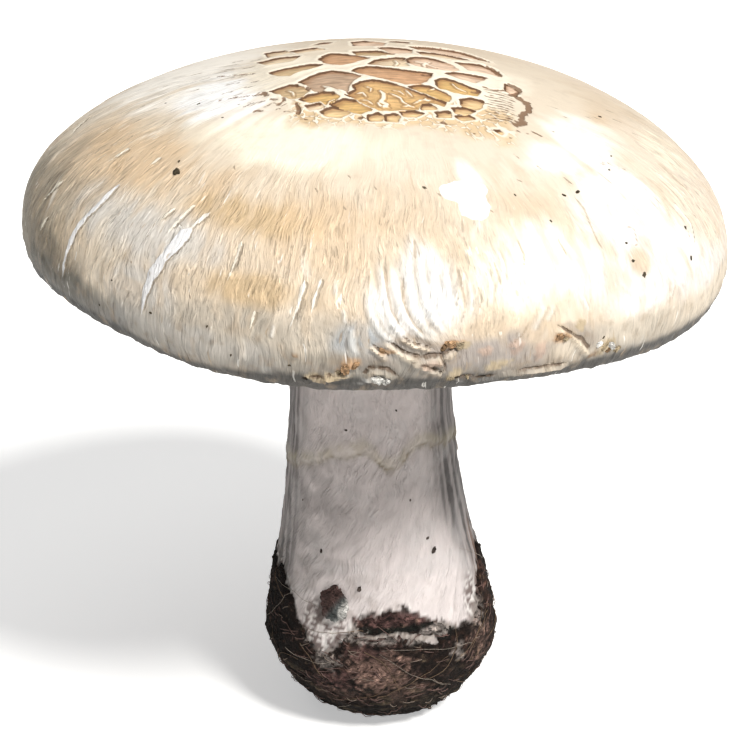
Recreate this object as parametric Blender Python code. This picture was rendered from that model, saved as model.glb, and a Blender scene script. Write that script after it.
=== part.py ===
"""Field mushroom as picked: an opened cap with free gills, a stout stem, and soil on its bulb.

Metres, +Z up. The origin is the centre of the small flat spot that the mushroom stands on.
"""

import math

import bmesh
import bpy
from mathutils import Matrix, Vector, noise

MM = 0.001
GAP = 0.3 * MM
WELD = 0.001 * MM
ON_AXIS = 0.1 * MM

# The cap, in its own frame: Z = 0 is its widest level, and its axis leans a little to the right.
CAP_CENTRE = Vector((-0.5, 0.0, 72.4)) * MM
CAP_LEAN_RIGHT = math.radians(2.1)
CAP_LEAN_BACK = math.radians(-0.45)
CAP_RADIUS = 46.7 * MM
CAP_HEIGHT = 22.2 * MM
CAP_FULLNESS = 0.96
CROWN_RISE = 0.9 * MM
CROWN_RADIUS = 0.32 * CAP_RADIUS
RIM_DROP = 5.5 * MM
RIM_RADIUS = 0.95 * CAP_RADIUS
# Waves round the margin: how many, their height as a share, and the angle of the first crest.
MARGIN_WAVES = ((2, 0.007, 135), (3, 0.018, 200), (4, 0.021, 317))
RIM_WAVES = ((4, 0.035, 273), (5, 0.035, 168))
CAP_STEPS = 72
DOME_ROWS = 12
MARGIN_ROWS = 5

# The underside of the cap's flesh: (radius, height) in mm, up the rim's inner wall, then from the stem out.
LIP = ((43.7, -5.2), (43.2, -4.1), (43.7, -1.6), (43.6, 1.2))
CEILING = ((14.0, 8.9), (24.0, 8.4), (33.0, 7.2), (39.0, 5.6), (42.4, 3.6))
SOCKET_RADIUS = 12.4 * MM
SOCKET_CEILING = 11.0 * MM

# The gills: plates that hang from a thin bed under the flesh, short of the stem. (radius, height) in mm.
GILL_PLATES = 60
GILL_THICKNESS = 0.8 * MM
GILL_BED = 1.0 * MM
GILL_STATIONS = (14.3, 18.0, 23.0, 30.0, 37.0, 41.8)
GILL_EDGE = ((14.3, 3.6), (18.0, 0.4), (23.0, -1.5), (30.0, -2.2), (37.0, -2.0), (41.8, -0.3))
SHORT_GILL_START = 23.0 * MM

# The outline of the stem from its base to the socket: (height, radius) in mm above the resting face.
OUTLINE = (
    (0.0, 6.1), (1.2, 8.5), (3.0, 10.9), (6.0, 13.5), (11.0, 15.95), (15.0, 15.65), (19.0, 15.0),
    (26.5, 13.65), (34.0, 12.4), (42.0, 11.6), (50.0, 11.2), (66.0, 11.2), (76.0, 11.8), (84.0, 12.0),
)
STEM_ROWS = (
    1.2, 1.8, 2.7, 4.2, 6.2, 9.2, 12.2, 14.2, 16.2, 18.2, 20.2, 22.2, 24.2, 26.2,
    29.0, 34.0, 42.0, 52.0, 64.0, 76.0,
)
STEM_LEAN = 1.6 * MM
STEM_LEAN_SPAN = (5.0 * MM, 47.0 * MM)
NECK_TURN_SPAN = (60.0 * MM, 76.0 * MM)
STEM_TOP = CAP_CENTRE.z + SOCKET_CEILING - GAP
STEM_STEPS = 48

# The soil: a crust that holds the bulb like a cup, with an uneven brim, and one clod above its notch.
SOIL_FLOOR = 1.2 * MM
SOIL_SEAT = 0.75 * MM
SOIL_SEAT_FADE = (2.0 * MM, 5.0 * MM)
SOIL_PROUD = 0.4 * MM
SOIL_PROUD_SPAN = (0.0, 6.0 * MM)
SOIL_LUMPS = 0.25 * MM
SOIL_LUMP_SIZE = 3.0 * MM
SOIL_ROWS = 12
SOIL_BRIM = 20.0 * MM
SOIL_BRIM_SWELL = 2.6 * MM
NOTCH_DEPTH = 5.0 * MM
NOTCH_ANGLE = math.radians(240)
NOTCH_WIDTH = math.radians(19)
CLOD_ANGLE = math.radians(246)
CLOD_HEIGHT = 21.6 * MM
CLOD_SIZE = Vector((1.9, 2.3, 0.7)) * MM
CLOD_ROUGHNESS = 0.18


def smooth_step(low, high, value):
    share = min(max((value - low) / (high - low), 0.0), 1.0)
    return share * share * (3.0 - 2.0 * share)


def along(points, place):
    """The second value of a smooth curve through points, where its first value is place."""
    place = min(max(place, points[0][0]), points[-1][0])
    index = next(i for i in range(1, len(points)) if place <= points[i][0])
    before, start = points[max(index - 2, 0)], points[index - 1]
    end, after = points[index], points[min(index + 1, len(points) - 1)]
    span = end[0] - start[0]
    share = (place - start[0]) / span
    slope_in = span * (end[1] - before[1]) / (end[0] - before[0])
    slope_out = span * (after[1] - start[1]) / (after[0] - start[0])
    cube, square = share**3, share**2
    return (
        (2 * cube - 3 * square + 1) * start[1]
        + (cube - 2 * square + share) * slope_in
        + (3 * square - 2 * cube) * end[1]
        + (cube - square) * slope_out
    )


def waves(table, angle):
    return sum(height * math.cos(count * angle - math.radians(crest)) for count, height, crest in table)


def polar(point):
    """The distance of a point from the Z axis, and its angle about it."""
    return math.hypot(point.x, point.y), math.atan2(point.y, point.x)


def turned(radius, angle, height):
    return Vector((radius * math.cos(angle), radius * math.sin(angle), height))


def spin(profile, steps, ring=False):
    """Turns (radius, height) points about Z. A ring's profile closes, and any other has its ends on the axis."""
    mesh = bmesh.new()
    corners = [mesh.verts.new((radius, 0.0, height)) for radius, height in profile]
    pairs = list(zip(corners, corners[1:]))
    if ring:
        pairs.append((corners[-1], corners[0]))
    edges = [mesh.edges.new(pair) for pair in pairs]
    about_z = {"axis": (0, 0, 1), "cent": (0, 0, 0), "angle": math.tau, "steps": steps}
    bmesh.ops.spin(mesh, geom=corners + edges, use_merge=True, **about_z)
    bmesh.ops.remove_doubles(mesh, verts=mesh.verts, dist=WELD)
    bmesh.ops.recalc_face_normals(mesh, faces=mesh.faces)
    return mesh


def make_material(name, colour, roughness):
    material = bpy.data.materials.new(name)
    material.use_nodes = True
    shader = material.node_tree.nodes["Principled BSDF"]
    shader.inputs["Base Color"].default_value = (*colour, 1.0)
    shader.inputs["Roughness"].default_value = roughness
    shader.inputs["Metallic"].default_value = 0.0
    return material


def finish(mesh, name, material):
    data = bpy.data.meshes.new(name)
    mesh.to_mesh(data)
    mesh.free()
    data.materials.append(material)
    data.shade_smooth()
    data.set_sharp_from_angle(angle=math.radians(50))
    bpy.context.scene.collection.objects.link(bpy.data.objects.new(name, data))


# Cap

CAP_TURN = Matrix.Rotation(CAP_LEAN_RIGHT, 3, "Y") @ Matrix.Rotation(CAP_LEAN_BACK, 3, "X")


def hang_on_cap(point):
    """Moves a point of the round, level cap to where the wavy, leaning cap has it."""
    radius, angle = polar(point)
    widen = 1.0 + waves(MARGIN_WAVES, angle) * (radius / CAP_RADIUS) ** 2
    height = point.z
    if height < 0.0:
        height *= 1.0 + waves(RIM_WAVES, angle)
    return CAP_TURN @ turned(radius * widen, angle, height) + CAP_CENTRE


def ceiling_height(radius_mm):
    return along(CEILING, radius_mm) * MM


def dome_profile():
    """From the crown to the widest level, and on round the margin to the bottom of the rim."""
    profile = []
    for row in range(DOME_ROWS + 1):
        turn = 0.5 * math.pi * row / DOME_ROWS
        radius = CAP_RADIUS * math.sin(turn)
        crown = CROWN_RISE * math.exp(-((radius / CROWN_RADIUS) ** 4))
        profile.append((radius, CAP_HEIGHT * abs(math.cos(turn)) ** CAP_FULLNESS + crown))
    for row in range(1, MARGIN_ROWS + 1):
        turn = 0.5 * math.pi * row / MARGIN_ROWS
        radius = RIM_RADIUS + (CAP_RADIUS - RIM_RADIUS) * math.cos(turn)
        profile.append((radius, -RIM_DROP * math.sin(turn)))
    return profile


def build_cap():
    profile = dome_profile()
    profile += [(radius * MM, height * MM) for radius, height in LIP + CEILING[-1:]]
    profile += [(radius * MM, ceiling_height(radius)) for radius in reversed(GILL_STATIONS)]
    profile += [(SOCKET_RADIUS, CEILING[0][1] * MM), (SOCKET_RADIUS, SOCKET_CEILING), (0.0, SOCKET_CEILING)]
    mesh = spin(profile, CAP_STEPS)
    for vert in mesh.verts:
        vert.co = hang_on_cap(vert.co)
    finish(mesh, "cap", make_material("cap_skin", (0.86, 0.76, 0.58), 0.55))


# Gills


def gill_bed_profile():
    """The bed's closed section: its top follows the flesh, and its underside carries the plates."""
    top = [(radius * MM, ceiling_height(radius) - GAP) for radius in GILL_STATIONS]
    return top + [(radius, height - GILL_BED) for radius, height in reversed(top)]


def square_up_plates(mesh):
    """Draws the bed's spokes together in pairs, so that each plate has the same thickness all along."""
    pitch = math.tau / GILL_PLATES
    for vert in mesh.verts:
        radius, angle = polar(vert.co)
        plate = round(angle / pitch)
        side = math.copysign(0.5 * GILL_THICKNESS / radius, angle - plate * pitch)
        vert.co = turned(radius, plate * pitch + side, vert.co.z)


def plate_faces(mesh, plate):
    """The faces under the bed between a plate's two sides. Every other plate is a short one."""
    pitch = math.tau / GILL_PLATES
    start = SHORT_GILL_START if plate % 2 else 0.0
    found = []
    for face in mesh.faces:
        radius, angle = polar(face.calc_center_median())
        off_plate = math.remainder(angle - plate * pitch, math.tau)
        if abs(off_plate) < 0.1 * pitch and face.normal.z < -0.5 and radius > start:
            found.append(face)
    return found


def build_gills():
    mesh = spin(gill_bed_profile(), 2 * GILL_PLATES, ring=True)
    half_spoke = Matrix.Rotation(0.25 * math.tau / GILL_PLATES, 3, "Z")
    bmesh.ops.rotate(mesh, verts=mesh.verts, cent=(0, 0, 0), matrix=half_spoke)
    square_up_plates(mesh)
    mesh.normal_update()
    for plate in range(GILL_PLATES):
        faces = plate_faces(mesh, plate)
        extruded = bmesh.ops.extrude_face_region(mesh, geom=faces)
        bmesh.ops.delete(mesh, geom=faces, context="FACES_ONLY")
        for vert in extruded["geom"]:
            if isinstance(vert, bmesh.types.BMVert):
                vert.co.z = along(GILL_EDGE, polar(vert.co)[0] / MM) * MM
    for vert in mesh.verts:
        vert.co = hang_on_cap(vert.co)
    bmesh.ops.recalc_face_normals(mesh, faces=mesh.faces)
    finish(mesh, "gills", make_material("gill_flesh", (0.46, 0.27, 0.21), 0.7))


# Stem


def outline_radius(height):
    return along(OUTLINE, height / MM) * MM


def brim_height(angle):
    """How high the soil reaches on the bulb: higher at the two sides, and low in one notch."""
    off_notch = math.remainder(angle - NOTCH_ANGLE, math.tau)
    notch = NOTCH_DEPTH * math.exp(-((off_notch / NOTCH_WIDTH) ** 2))
    return SOIL_BRIM + SOIL_BRIM_SWELL * math.cos(2 * angle) - notch


def lean(point):
    """Moves a point of the upright stem or soil on to the leaning stem, whose neck turns with the cap."""
    leaned = point - Vector((STEM_LEAN * smooth_step(*STEM_LEAN_SPAN, point.z), 0.0, 0.0))
    with_cap = CAP_TURN @ Vector((point.x, point.y, point.z - CAP_CENTRE.z)) + CAP_CENTRE
    return leaned.lerp(with_cap, smooth_step(*NECK_TURN_SPAN, point.z))


def build_stem():
    """The stem, drawn in a little under the soil so that the crust has room."""
    profile = [(0.0, SOIL_FLOOR)] + [(outline_radius(row * MM), row * MM) for row in STEM_ROWS]
    profile += [(outline_radius(STEM_TOP), STEM_TOP), (0.0, STEM_TOP)]
    mesh = spin(profile, STEM_STEPS)
    for vert in mesh.verts:
        radius, angle = polar(vert.co)
        if radius > ON_AXIS:
            soiled = 1.0 - smooth_step(*SOIL_SEAT_FADE, vert.co.z - brim_height(angle))
            radius = outline_radius(vert.co.z - soiled * SOIL_FLOOR) - soiled * SOIL_SEAT
        vert.co = lean(turned(radius, angle, vert.co.z))
    finish(mesh, "stem", make_material("stem_skin", (0.80, 0.76, 0.74), 0.6))


# Soil


def crust_inside(height):
    """The crust's inner radius, clear of the stem that stands in it."""
    return outline_radius(height - SOIL_FLOOR + GAP) - SOIL_SEAT + 1.2 * GAP


def crust_outside(height, point):
    lump = SOIL_LUMPS * noise.noise(point / SOIL_LUMP_SIZE)
    return outline_radius(height) + (SOIL_PROUD + lump) * smooth_step(*SOIL_PROUD_SPAN, height)


def build_soil_crust():
    """A cup that is spun with a level brim, then stretched up or down to the brim's height all round."""
    floor = SOIL_FLOOR - GAP
    shares = [(row / SOIL_ROWS) ** 1.6 for row in range(SOIL_ROWS + 1)]
    outer = [SOIL_BRIM * share for share in shares]
    inner = [floor + (SOIL_BRIM - floor) * share for share in shares]
    profile = [(0.0, 0.0)] + [(outline_radius(height), height) for height in outer]
    profile += [(crust_inside(height), height) for height in reversed(inner)] + [(0.0, floor)]
    mesh = spin(profile, STEM_STEPS)
    for vert in mesh.verts:
        radius, angle = polar(vert.co)
        middle = 0.5 * (crust_inside(max(vert.co.z, floor)) + outline_radius(vert.co.z))
        outside = radius > middle
        base = 0.0 if outside else floor
        height = base + (vert.co.z - base) * (brim_height(angle) - base) / (SOIL_BRIM - base)
        if radius > ON_AXIS and vert.co.z > base:
            radius = crust_outside(height, vert.co) if outside else crust_inside(height)
            vert.co = turned(radius, angle, height)
        vert.co = lean(vert.co)
    finish(mesh, "soil_crust", make_material("soil", (0.075, 0.045, 0.035), 0.95))


def build_soil_clod():
    """A flat lump of soil that sits on the bare skin above the crust's notch."""
    mesh = bmesh.new()
    bmesh.ops.create_icosphere(mesh, subdivisions=2, radius=1.0)
    level_out = turned(1.0, CLOD_ANGLE, 0.0)
    sideways = Vector((0.0, 0.0, 1.0)).cross(level_out)
    taper = (outline_radius(CLOD_HEIGHT - MM) - outline_radius(CLOD_HEIGHT + MM)) / (2 * MM)
    upward = (Vector((0.0, 0.0, 1.0)) - taper * level_out).normalized()
    outward = sideways.cross(upward)
    seat = turned(outline_radius(CLOD_HEIGHT) + GAP, CLOD_ANGLE, CLOD_HEIGHT)
    for vert in mesh.verts:
        outer_side = smooth_step(-0.4, 0.2, vert.co.z)
        rough = 1.0 + CLOD_ROUGHNESS * outer_side * noise.noise(vert.co * 2.3)
        lump = (vert.co + Vector((0.0, 0.0, 1.0))) * CLOD_SIZE * rough
        vert.co = lean(seat + lump.x * sideways + lump.y * upward + lump.z * outward)
    finish(mesh, "soil_clod", make_material("clod_soil", (0.12, 0.095, 0.085), 0.95))


def main():
    for old in list(bpy.data.objects):
        bpy.data.objects.remove(old)
    build_cap()
    build_gills()
    build_stem()
    build_soil_crust()
    build_soil_clod()


main()
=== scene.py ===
"""Field mushroom: skin, gills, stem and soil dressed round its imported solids, with a plain studio stage.

Lengths are in millimetres inside the shaping functions, and become metres when a mesh is filled.
"""

import itertools
import math

import bmesh
import bpy
import numpy as np
from bpy.props import FloatProperty, FloatVectorProperty, IntProperty, PointerProperty
from mathutils import Matrix, Vector


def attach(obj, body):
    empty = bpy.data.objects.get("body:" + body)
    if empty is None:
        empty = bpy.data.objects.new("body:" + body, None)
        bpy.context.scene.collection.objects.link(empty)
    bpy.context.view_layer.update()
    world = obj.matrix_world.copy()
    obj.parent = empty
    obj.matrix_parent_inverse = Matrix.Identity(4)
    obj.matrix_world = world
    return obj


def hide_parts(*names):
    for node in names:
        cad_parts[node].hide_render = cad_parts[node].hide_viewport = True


bl_info = {
    "name": "Field mushroom",
    "version": (1, 0, 0),
    "blender": (4, 5, 0),
    "location": "3D View > Sidebar > Mushroom",
    "description": "Builds a field mushroom with a cracked crown, gills, stem and soil",
    "category": "Add Mesh",
}

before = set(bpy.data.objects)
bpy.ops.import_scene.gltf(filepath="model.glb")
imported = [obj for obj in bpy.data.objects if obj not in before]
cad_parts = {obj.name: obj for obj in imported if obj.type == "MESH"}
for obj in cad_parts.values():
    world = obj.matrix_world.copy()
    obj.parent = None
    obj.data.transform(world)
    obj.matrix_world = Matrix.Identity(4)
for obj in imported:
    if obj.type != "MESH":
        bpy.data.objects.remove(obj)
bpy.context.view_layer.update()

MM = 0.001
WELD = 0.002 * MM

# The cap's outline, as the solids have it.
CAP_CENTRE = np.array((-0.5, 0.0, 72.4))
CAP_LEAN_RIGHT = math.radians(2.1)
CAP_LEAN_BACK = math.radians(-0.45)
CAP_RADIUS = 46.7
CAP_HEIGHT = 22.2
CAP_FULLNESS = 0.96
CROWN_RISE = 0.9
CROWN_RADIUS = 0.32 * CAP_RADIUS
RIM_DROP = 5.5
RIM_RADIUS = 0.95 * CAP_RADIUS
MARGIN_WAVES = ((2, 0.007, 135), (3, 0.018, 200), (4, 0.021, 317))
RIM_WAVES = ((4, 0.035, 273), (5, 0.035, 168))
LIP = ((43.7, -5.2), (43.2, -4.1), (43.7, -1.6), (43.6, 1.2))
CEILING = ((14.0, 8.9), (24.0, 8.4), (33.0, 7.2), (39.0, 5.6), (42.4, 3.6))
SOCKET_RADIUS = 12.4
SOCKET_CEILING = 11.0

# A share runs from 0 at the crown to 1 at the widest level, and on to MARGIN_END under the rim.
MARGIN_END = 1.12
SHARE_LENGTH = 54.0
CROWN_EDGE = 22.4
# The share at which each run of rings ends, and its count.
SIDE_ROWS = ((0.60, 17), (0.90, 21), (1.07, 26), (MARGIN_END, 5))

GILL_STATIONS = (14.3, 18.0, 23.0, 30.0, 37.0, 41.8)
GILL_EDGE = ((14.3, 3.6), (18.0, 0.4), (23.0, -1.5), (30.0, -2.2), (37.0, -2.0), (41.8, -0.3))
GILL_CLEARANCE = 0.3
GILL_BED = 1.0

OUTLINE = (
    (0.0, 6.1), (1.2, 8.5), (3.0, 10.9), (6.0, 13.5), (11.0, 15.95), (15.0, 15.65), (19.0, 15.0),
    (26.5, 13.65), (34.0, 12.4), (42.0, 11.6), (50.0, 11.2), (66.0, 11.2), (76.0, 11.8), (84.0, 12.0),
)
STEM_LEAN = 1.6
STEM_LEAN_SPAN = (5.0, 47.0)
NECK_TURN_SPAN = (60.0, 76.0)
STEM_FOOT = 1.2
STEM_TOP = 83.1

# Tones laid over the cap: azimuth and share of the middle, reach in each, colour and strength. The white and
# glow rows lay painted highlights over the pale skin, and the darkest row, under the left of the rim, is
# painted shade.
TONES = (
    (270, 0.74, 60, 0.30, "buff", 0.70),
    (213, 0.57, 24, 0.10, "tan", 0.80),
    (194, 0.64, 11, 0.14, "tan", 0.60),
    (209, 0.71, 9, 0.09, "tan", 0.75),
    (246, 0.63, 14, 0.060, "golden", 0.80),
    (262, 0.60, 12, 0.07, "tan", 0.55),
    (261, 0.71, 10, 0.07, "tan", 0.35),
    (211, 0.73, 12, 0.08, "greige", 0.40),
    (287, 0.985, 12, 0.035, "greige", 0.35),
    (226, 0.76, 19, 0.10, "pearl", 0.95),
    (238, 0.76, 6, 0.07, "pearl", 0.60),
    (250, 0.84, 10, 0.060, "golden", 0.72),
    (246, 0.97, 16, 0.08, "greige", 0.75),
    (262, 0.95, 13, 0.07, "greige", 0.60),
    (229, 0.94, 9, 0.10, "pearl", 0.85),
    (230, 1.02, 14, 0.05, "greige", 0.60),
    (247, 0.39, 34, 0.085, "glow", 0.95),
    (200, 0.33, 26, 0.09, "white", 1.00),
    (180, 0.43, 15, 0.10, "milk", 0.90),
    (164, 0.45, 24, 0.20, "milk", 0.75),
    (350, 0.43, 12, 0.05, "buff", 0.45),
    (12, 0.45, 18, 0.12, "buff", 0.45),
    (202, 0.99, 14, 0.11, "umber", 0.85),
    (190, 0.88, 11, 0.26, "ash", 0.85),
    (199, 0.84, 8, 0.14, "ash", 0.35),
    # Painted shade under the left of the rim.
    (210, 1.04, 20, 0.06, "rim_shade", 0.90),
    (276, 0.82, 8, 0.15, "white", 0.95),
    (267, 0.965, 3.8, 0.07, "blue_grey", 1.0),
    (291, 0.42, 30, 0.09, "peach", 0.80),
    (287, 0.62, 7, 0.08, "peach", 0.60),
    (316, 0.46, 15, 0.055, "white", 1.00),
    (319, 0.64, 13, 0.14, "white", 1.00),
    (331, 0.43, 13, 0.08, "milk", 0.85),
    (331, 0.92, 16, 0.08, "rosy_cream", 0.85),
    (298, 0.74, 9, 0.11, "white", 0.85),
    (328, 0.80, 8, 0.12, "white", 0.85),
    (289, 0.46, 3, 0.05, "white", 0.90),
    (304, 0.50, 7, 0.05, "peach", 0.70),
    (299, 0.43, 12, 0.05, "peach", 0.70),
    (346, 0.42, 5, 0.02, "tan", 0.50),
    (296, 0.76, 14, 0.13, "glow", 0.85),
    (318, 0.82, 18, 0.12, "rosy_cream", 0.80),
    (345, 0.70, 16, 0.24, "peach", 0.90),
    (350, 0.60, 9, 0.08, "glow", 0.50),
    (320, 0.88, 4, 0.05, "rosy_cream", 0.80),
    (313, 0.93, 6, 0.06, "white", 0.50),
    (287, 1.00, 17, 0.060, "lilac", 0.95),
    (271, 1.00, 7, 0.035, "ash_white", 0.80),
    (296, 0.96, 5, 0.05, "buff", 0.75),
    (285, 0.93, 4, 0.04, "buff", 0.60),
    (316, 0.805, 2.2, 0.045, "buff", 0.85),
    (312, 1.02, 18, 0.05, "greige", 0.60),
    (265, 1.03, 12, 0.03, "ash", 0.60),
    (238, 1.03, 20, 0.04, "ash_white", 0.60),
    (80, 0.32, 60, 0.20, "buff", 0.40),
    (152, 0.36, 26, 0.16, "milk", 0.60),
    (40, 0.45, 30, 0.14, "peach", 0.60),
    (60, 0.64, 26, 0.10, "tan", 0.60),
    (110, 0.72, 22, 0.14, "pearl", 0.70),
    (150, 0.62, 20, 0.10, "golden", 0.50),
    (20, 0.74, 20, 0.12, "buff", 0.60),
    (85, 0.90, 20, 0.10, "ash", 0.40),
    (135, 0.94, 16, 0.08, "tan", 0.40),
)
TONE_COLOURS = {
    "tan": (0.66, 0.48, 0.30),
    "golden": (0.56, 0.40, 0.22),
    # The glow and white colours serve as painted highlights.
    "glow": (0.90, 0.84, 0.68),
    "white": (0.95, 0.94, 0.92),
    "milk": (0.93, 0.88, 0.80),
    "pearl": (0.65, 0.61, 0.555),
    "umber": (0.22, 0.175, 0.115),
    "ash": (0.31, 0.27, 0.21),
    # Painted shade under the rim.
    "rim_shade": (0.14, 0.13, 0.105),
    "ash_white": (0.50, 0.48, 0.45),
    "blue_grey": (0.36, 0.375, 0.385),
    "greige": (0.47, 0.42, 0.35),
    "buff": (0.62, 0.49, 0.35),
    "peach": (0.75, 0.64, 0.52),
    "rosy_cream": (0.78, 0.73, 0.69),
    "lilac": (0.36, 0.315, 0.285),
}

# Healed slits in the skin: width, warmth from grey-white to cream, then (azimuth, share) from the top down.
SCARS = (
    (0.80, 0.0, ((214.3, 0.655), (213.4, 0.74), (211.6, 0.83), (210.9, 0.91), (210.2, 0.975),
     (210.0, 1.03))),
    (0.55, 0.6, ((237.8, 0.645), (236.8, 0.675), (235.6, 0.71))),
    (1.70, 0.0, ((235.9, 0.700), (234.6, 0.770), (232.7, 0.85), (231.7, 0.92), (231.0, 1.01))),
    (0.40, 1.0, ((198.8, 0.74), (198.0, 0.785), (196.8, 0.835))),
    (0.45, 1.0, ((233.9, 0.635), (232.9, 0.69), (231.8, 0.745))),
    (0.45, 1.0, ((230.4, 0.66), (229.2, 0.71))),
    (0.40, 1.0, ((246.2, 0.70), (246.5, 0.755), (246.0, 0.83))),
    (0.50, 0.7, ((258.3, 0.785), (257.9, 0.86), (256.9, 0.94))),
    (0.45, 0.7, ((260.8, 0.775), (260.2, 0.83), (259.9, 0.885))),
    (0.40, 1.0, ((251.4, 0.90), (250.9, 0.96))),
    (0.40, 1.0, ((177.0, 0.615), (178.5, 0.64), (182.2, 0.68))),
    (0.40, 1.0, ((216.8, 0.54), (216.5, 0.575))),
    (0.45, 1.0, ((206.5, 0.56), (205.5, 0.62))),
    (0.45, 1.0, ((201.5, 0.86), (200.0, 0.93))),
    (0.55, 1.0, ((332.5, 0.69), (333.0, 0.77), (331.0, 0.84))),
    (0.50, 1.0, ((336.5, 0.60), (337.0, 0.68), (336.0, 0.73))),
    (0.45, 1.0, ((328.0, 0.62), (328.5, 0.69))),
    (0.90, 0.0, ((96.0, 0.62), (95.0, 0.76), (97.0, 0.90))),
    (0.60, 0.6, ((52.0, 0.70), (50.5, 0.83), (51.0, 0.93))),
    (0.70, 0.0, ((141.0, 0.66), (143.0, 0.80), (142.0, 0.92))),
)

MARK_COLOURS = {
    "pale_streak": (0.90, 0.87, 0.80),
    "fold": (0.90, 0.88, 0.83),
    "fold_shade": (0.42, 0.35, 0.27),
    "swell": (0.93, 0.93, 0.92),
    "veil": (0.80, 0.68, 0.52),
    "veil_shade": (0.34, 0.28, 0.23),
    # Painted shade on the turned-under margin, and painted shadow under the rim.
    "margin": (0.20, 0.19, 0.175),
    "under_rim_shadow": (0.055, 0.053, 0.050),
    "flesh": (0.62, 0.50, 0.42),
    "inner_lip": (0.16, 0.14, 0.12),
}
# How much of red, green and blue the shade takes on the far left.
FAR_LEFT_SHADE = (0.26, 0.28, 0.33)
# Azimuth and share of the swelling between the folds, and of the white blotch.
SWELL = (278.6, 0.84)
BLOTCH = (287.0, 0.50)

# Raised folds where the skin was drawn together: width, then (azimuth, share) from the top down.
FOLDS = (
    (0.9, ((269.2, 0.70), (269.8, 0.755), (270.5, 0.83), (271.8, 0.905), (274.0, 0.953), (276.5, 0.985))),
    (0.9, ((267.6, 0.80), (268.4, 0.87), (270.0, 0.93), (272.6, 0.975))),
    (0.9, ((271.5, 0.715), (272.2, 0.80), (273.2, 0.873), (275.8, 0.935), (278.8, 0.970))),
    (1.0, ((275.0, 0.608), (274.5, 0.695), (274.0, 0.782), (274.8, 0.858), (276.5, 0.92), (278.8, 0.958))),
    (0.9, ((276.0, 0.68), (276.0, 0.753), (276.5, 0.83), (277.8, 0.895), (279.4, 0.940))),
    (1.0, ((278.0, 0.695), (278.0, 0.78), (278.5, 0.845), (279.6, 0.90))),
    (0.9, ((280.0, 0.718), (280.0, 0.80), (280.5, 0.885))),
    (0.7, ((283.4, 0.76), (283.6, 0.83), (283.2, 0.88))),
    (0.7, ((286.4, 0.74), (287.0, 0.80), (286.4, 0.86))),
    (0.6, ((289.0, 0.68), (289.6, 0.74), (289.0, 0.80))),
    (0.8, ((295.6, 0.870), (294.2, 0.915), (293.0, 0.955))),
    (0.6, ((297.0, 0.880), (295.4, 0.930))),
    (0.9, ((266.0, 0.915), (266.0, 0.97), (266.6, 1.005))),
    (0.5, ((263.0, 0.78), (263.2, 0.83))),
    (0.5, ((264.5, 0.86), (265.0, 0.91))),
    (0.5, ((254.6, 0.93), (254.2, 0.98))),
    (0.6, ((302.0, 0.86), (303.0, 0.92))),
    (0.6, ((322.0, 0.90), (321.0, 0.96))),
)

# Fine grooves that show as thin brown or grey lines: width, then (azimuth, share).
GROOVES = (
    (0.35, ((270.3, 0.718), (270.8, 0.797), (271.5, 0.858), (273.0, 0.912))),
    (0.35, ((273.2, 0.753), (273.2, 0.828), (274.5, 0.895), (276.6, 0.94))),
    (0.35, ((275.4, 0.64), (275.2, 0.71))),
    (0.30, ((281.8, 0.718), (282.2, 0.787), (282.6, 0.85), (281.8, 0.90))),
    (0.30, ((284.8, 0.79), (285.2, 0.835), (284.5, 0.873))),
    (0.30, ((288.2, 0.72), (288.6, 0.80))),
    (0.35, ((309.8, 0.570), (310.2, 0.61), (309.2, 0.665), (308.8, 0.713), (309.2, 0.753))),
    (0.30, ((315.0, 0.69), (318.0, 0.705), (316.8, 0.755), (313.6, 0.775))),
    (0.30, ((331.2, 0.68), (331.8, 0.76), (330.0, 0.83))),
    (0.30, ((335.2, 0.60), (335.6, 0.68), (334.8, 0.74))),
    (0.30, ((326.6, 0.61), (327.0, 0.69))),
    (0.25, ((311.5, 0.855), (316.5, 0.850))),
    (0.30, ((321.0, 0.52), (321.4, 0.58))),
    (0.30, ((301.0, 0.68), (301.6, 0.74))),
    (0.30, ((293.4, 0.66), (293.8, 0.72), (293.0, 0.76))),
    (0.30, ((257.0, 0.68), (257.2, 0.73))),
    (0.25, ((241.5, 0.58), (241.0, 0.62))),
    (0.30, ((292.4, 0.925), (291.4, 0.96), (289.6, 0.985))),
)

# Short dashes in the skin: azimuth, share and length. A warmth above 1 tells them from slits.
DASH_WIDTH = 0.25
DASH_WARMTH = 2.0
DASHES = (
    (326.2, 0.525, 1.3), (324.2, 0.512, 0.9), (328.4, 0.552, 1.0), (345.8, 0.422, 2.2), (343.4, 0.402, 1.2),
    (351.0, 0.462, 1.6), (356.5, 0.445, 1.5), (339.5, 0.335, 1.5), (336.0, 0.365, 1.0), (348.0, 0.505, 1.2),
    (351.5, 0.565, 1.6), (345.5, 0.620, 1.8), (340.5, 0.680, 1.6), (336.0, 0.760, 1.4), (304.2, 0.430, 1.3),
    (307.2, 0.475, 1.2), (311.2, 0.530, 1.6), (300.0, 0.500, 0.8), (290.5, 0.580, 0.8), (281.0, 0.520, 0.9),
    (268.0, 0.500, 0.9), (262.0, 0.470, 0.7), (256.0, 0.520, 0.8), (236.0, 0.500, 0.8), (262.5, 0.565, 0.9),
    (250.0, 0.560, 0.8), (176.0, 0.300, 2.6), (172.0, 0.360, 2.0), (180.5, 0.340, 2.4), (186.0, 0.300, 2.8),
    (184.0, 0.420, 1.8), (190.0, 0.360, 1.4), (168.0, 0.300, 2.2), (178.0, 0.420, 1.8), (192.0, 0.280, 2.4),
    (197.0, 0.330, 1.0), (206.0, 0.300, 1.4), (212.0, 0.275, 1.2), (218.0, 0.300, 1.0), (188.5, 0.480, 1.8),
    (196.0, 0.500, 1.6), (202.5, 0.540, 1.2), (193.0, 0.570, 1.8), (199.0, 0.620, 1.4), (205.5, 0.660, 1.4),
    (196.5, 0.700, 1.8), (222.0, 0.840, 1.0), (219.0, 0.900, 1.2), (227.0, 0.860, 1.1), (240.0, 0.900, 1.0),
)

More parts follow.
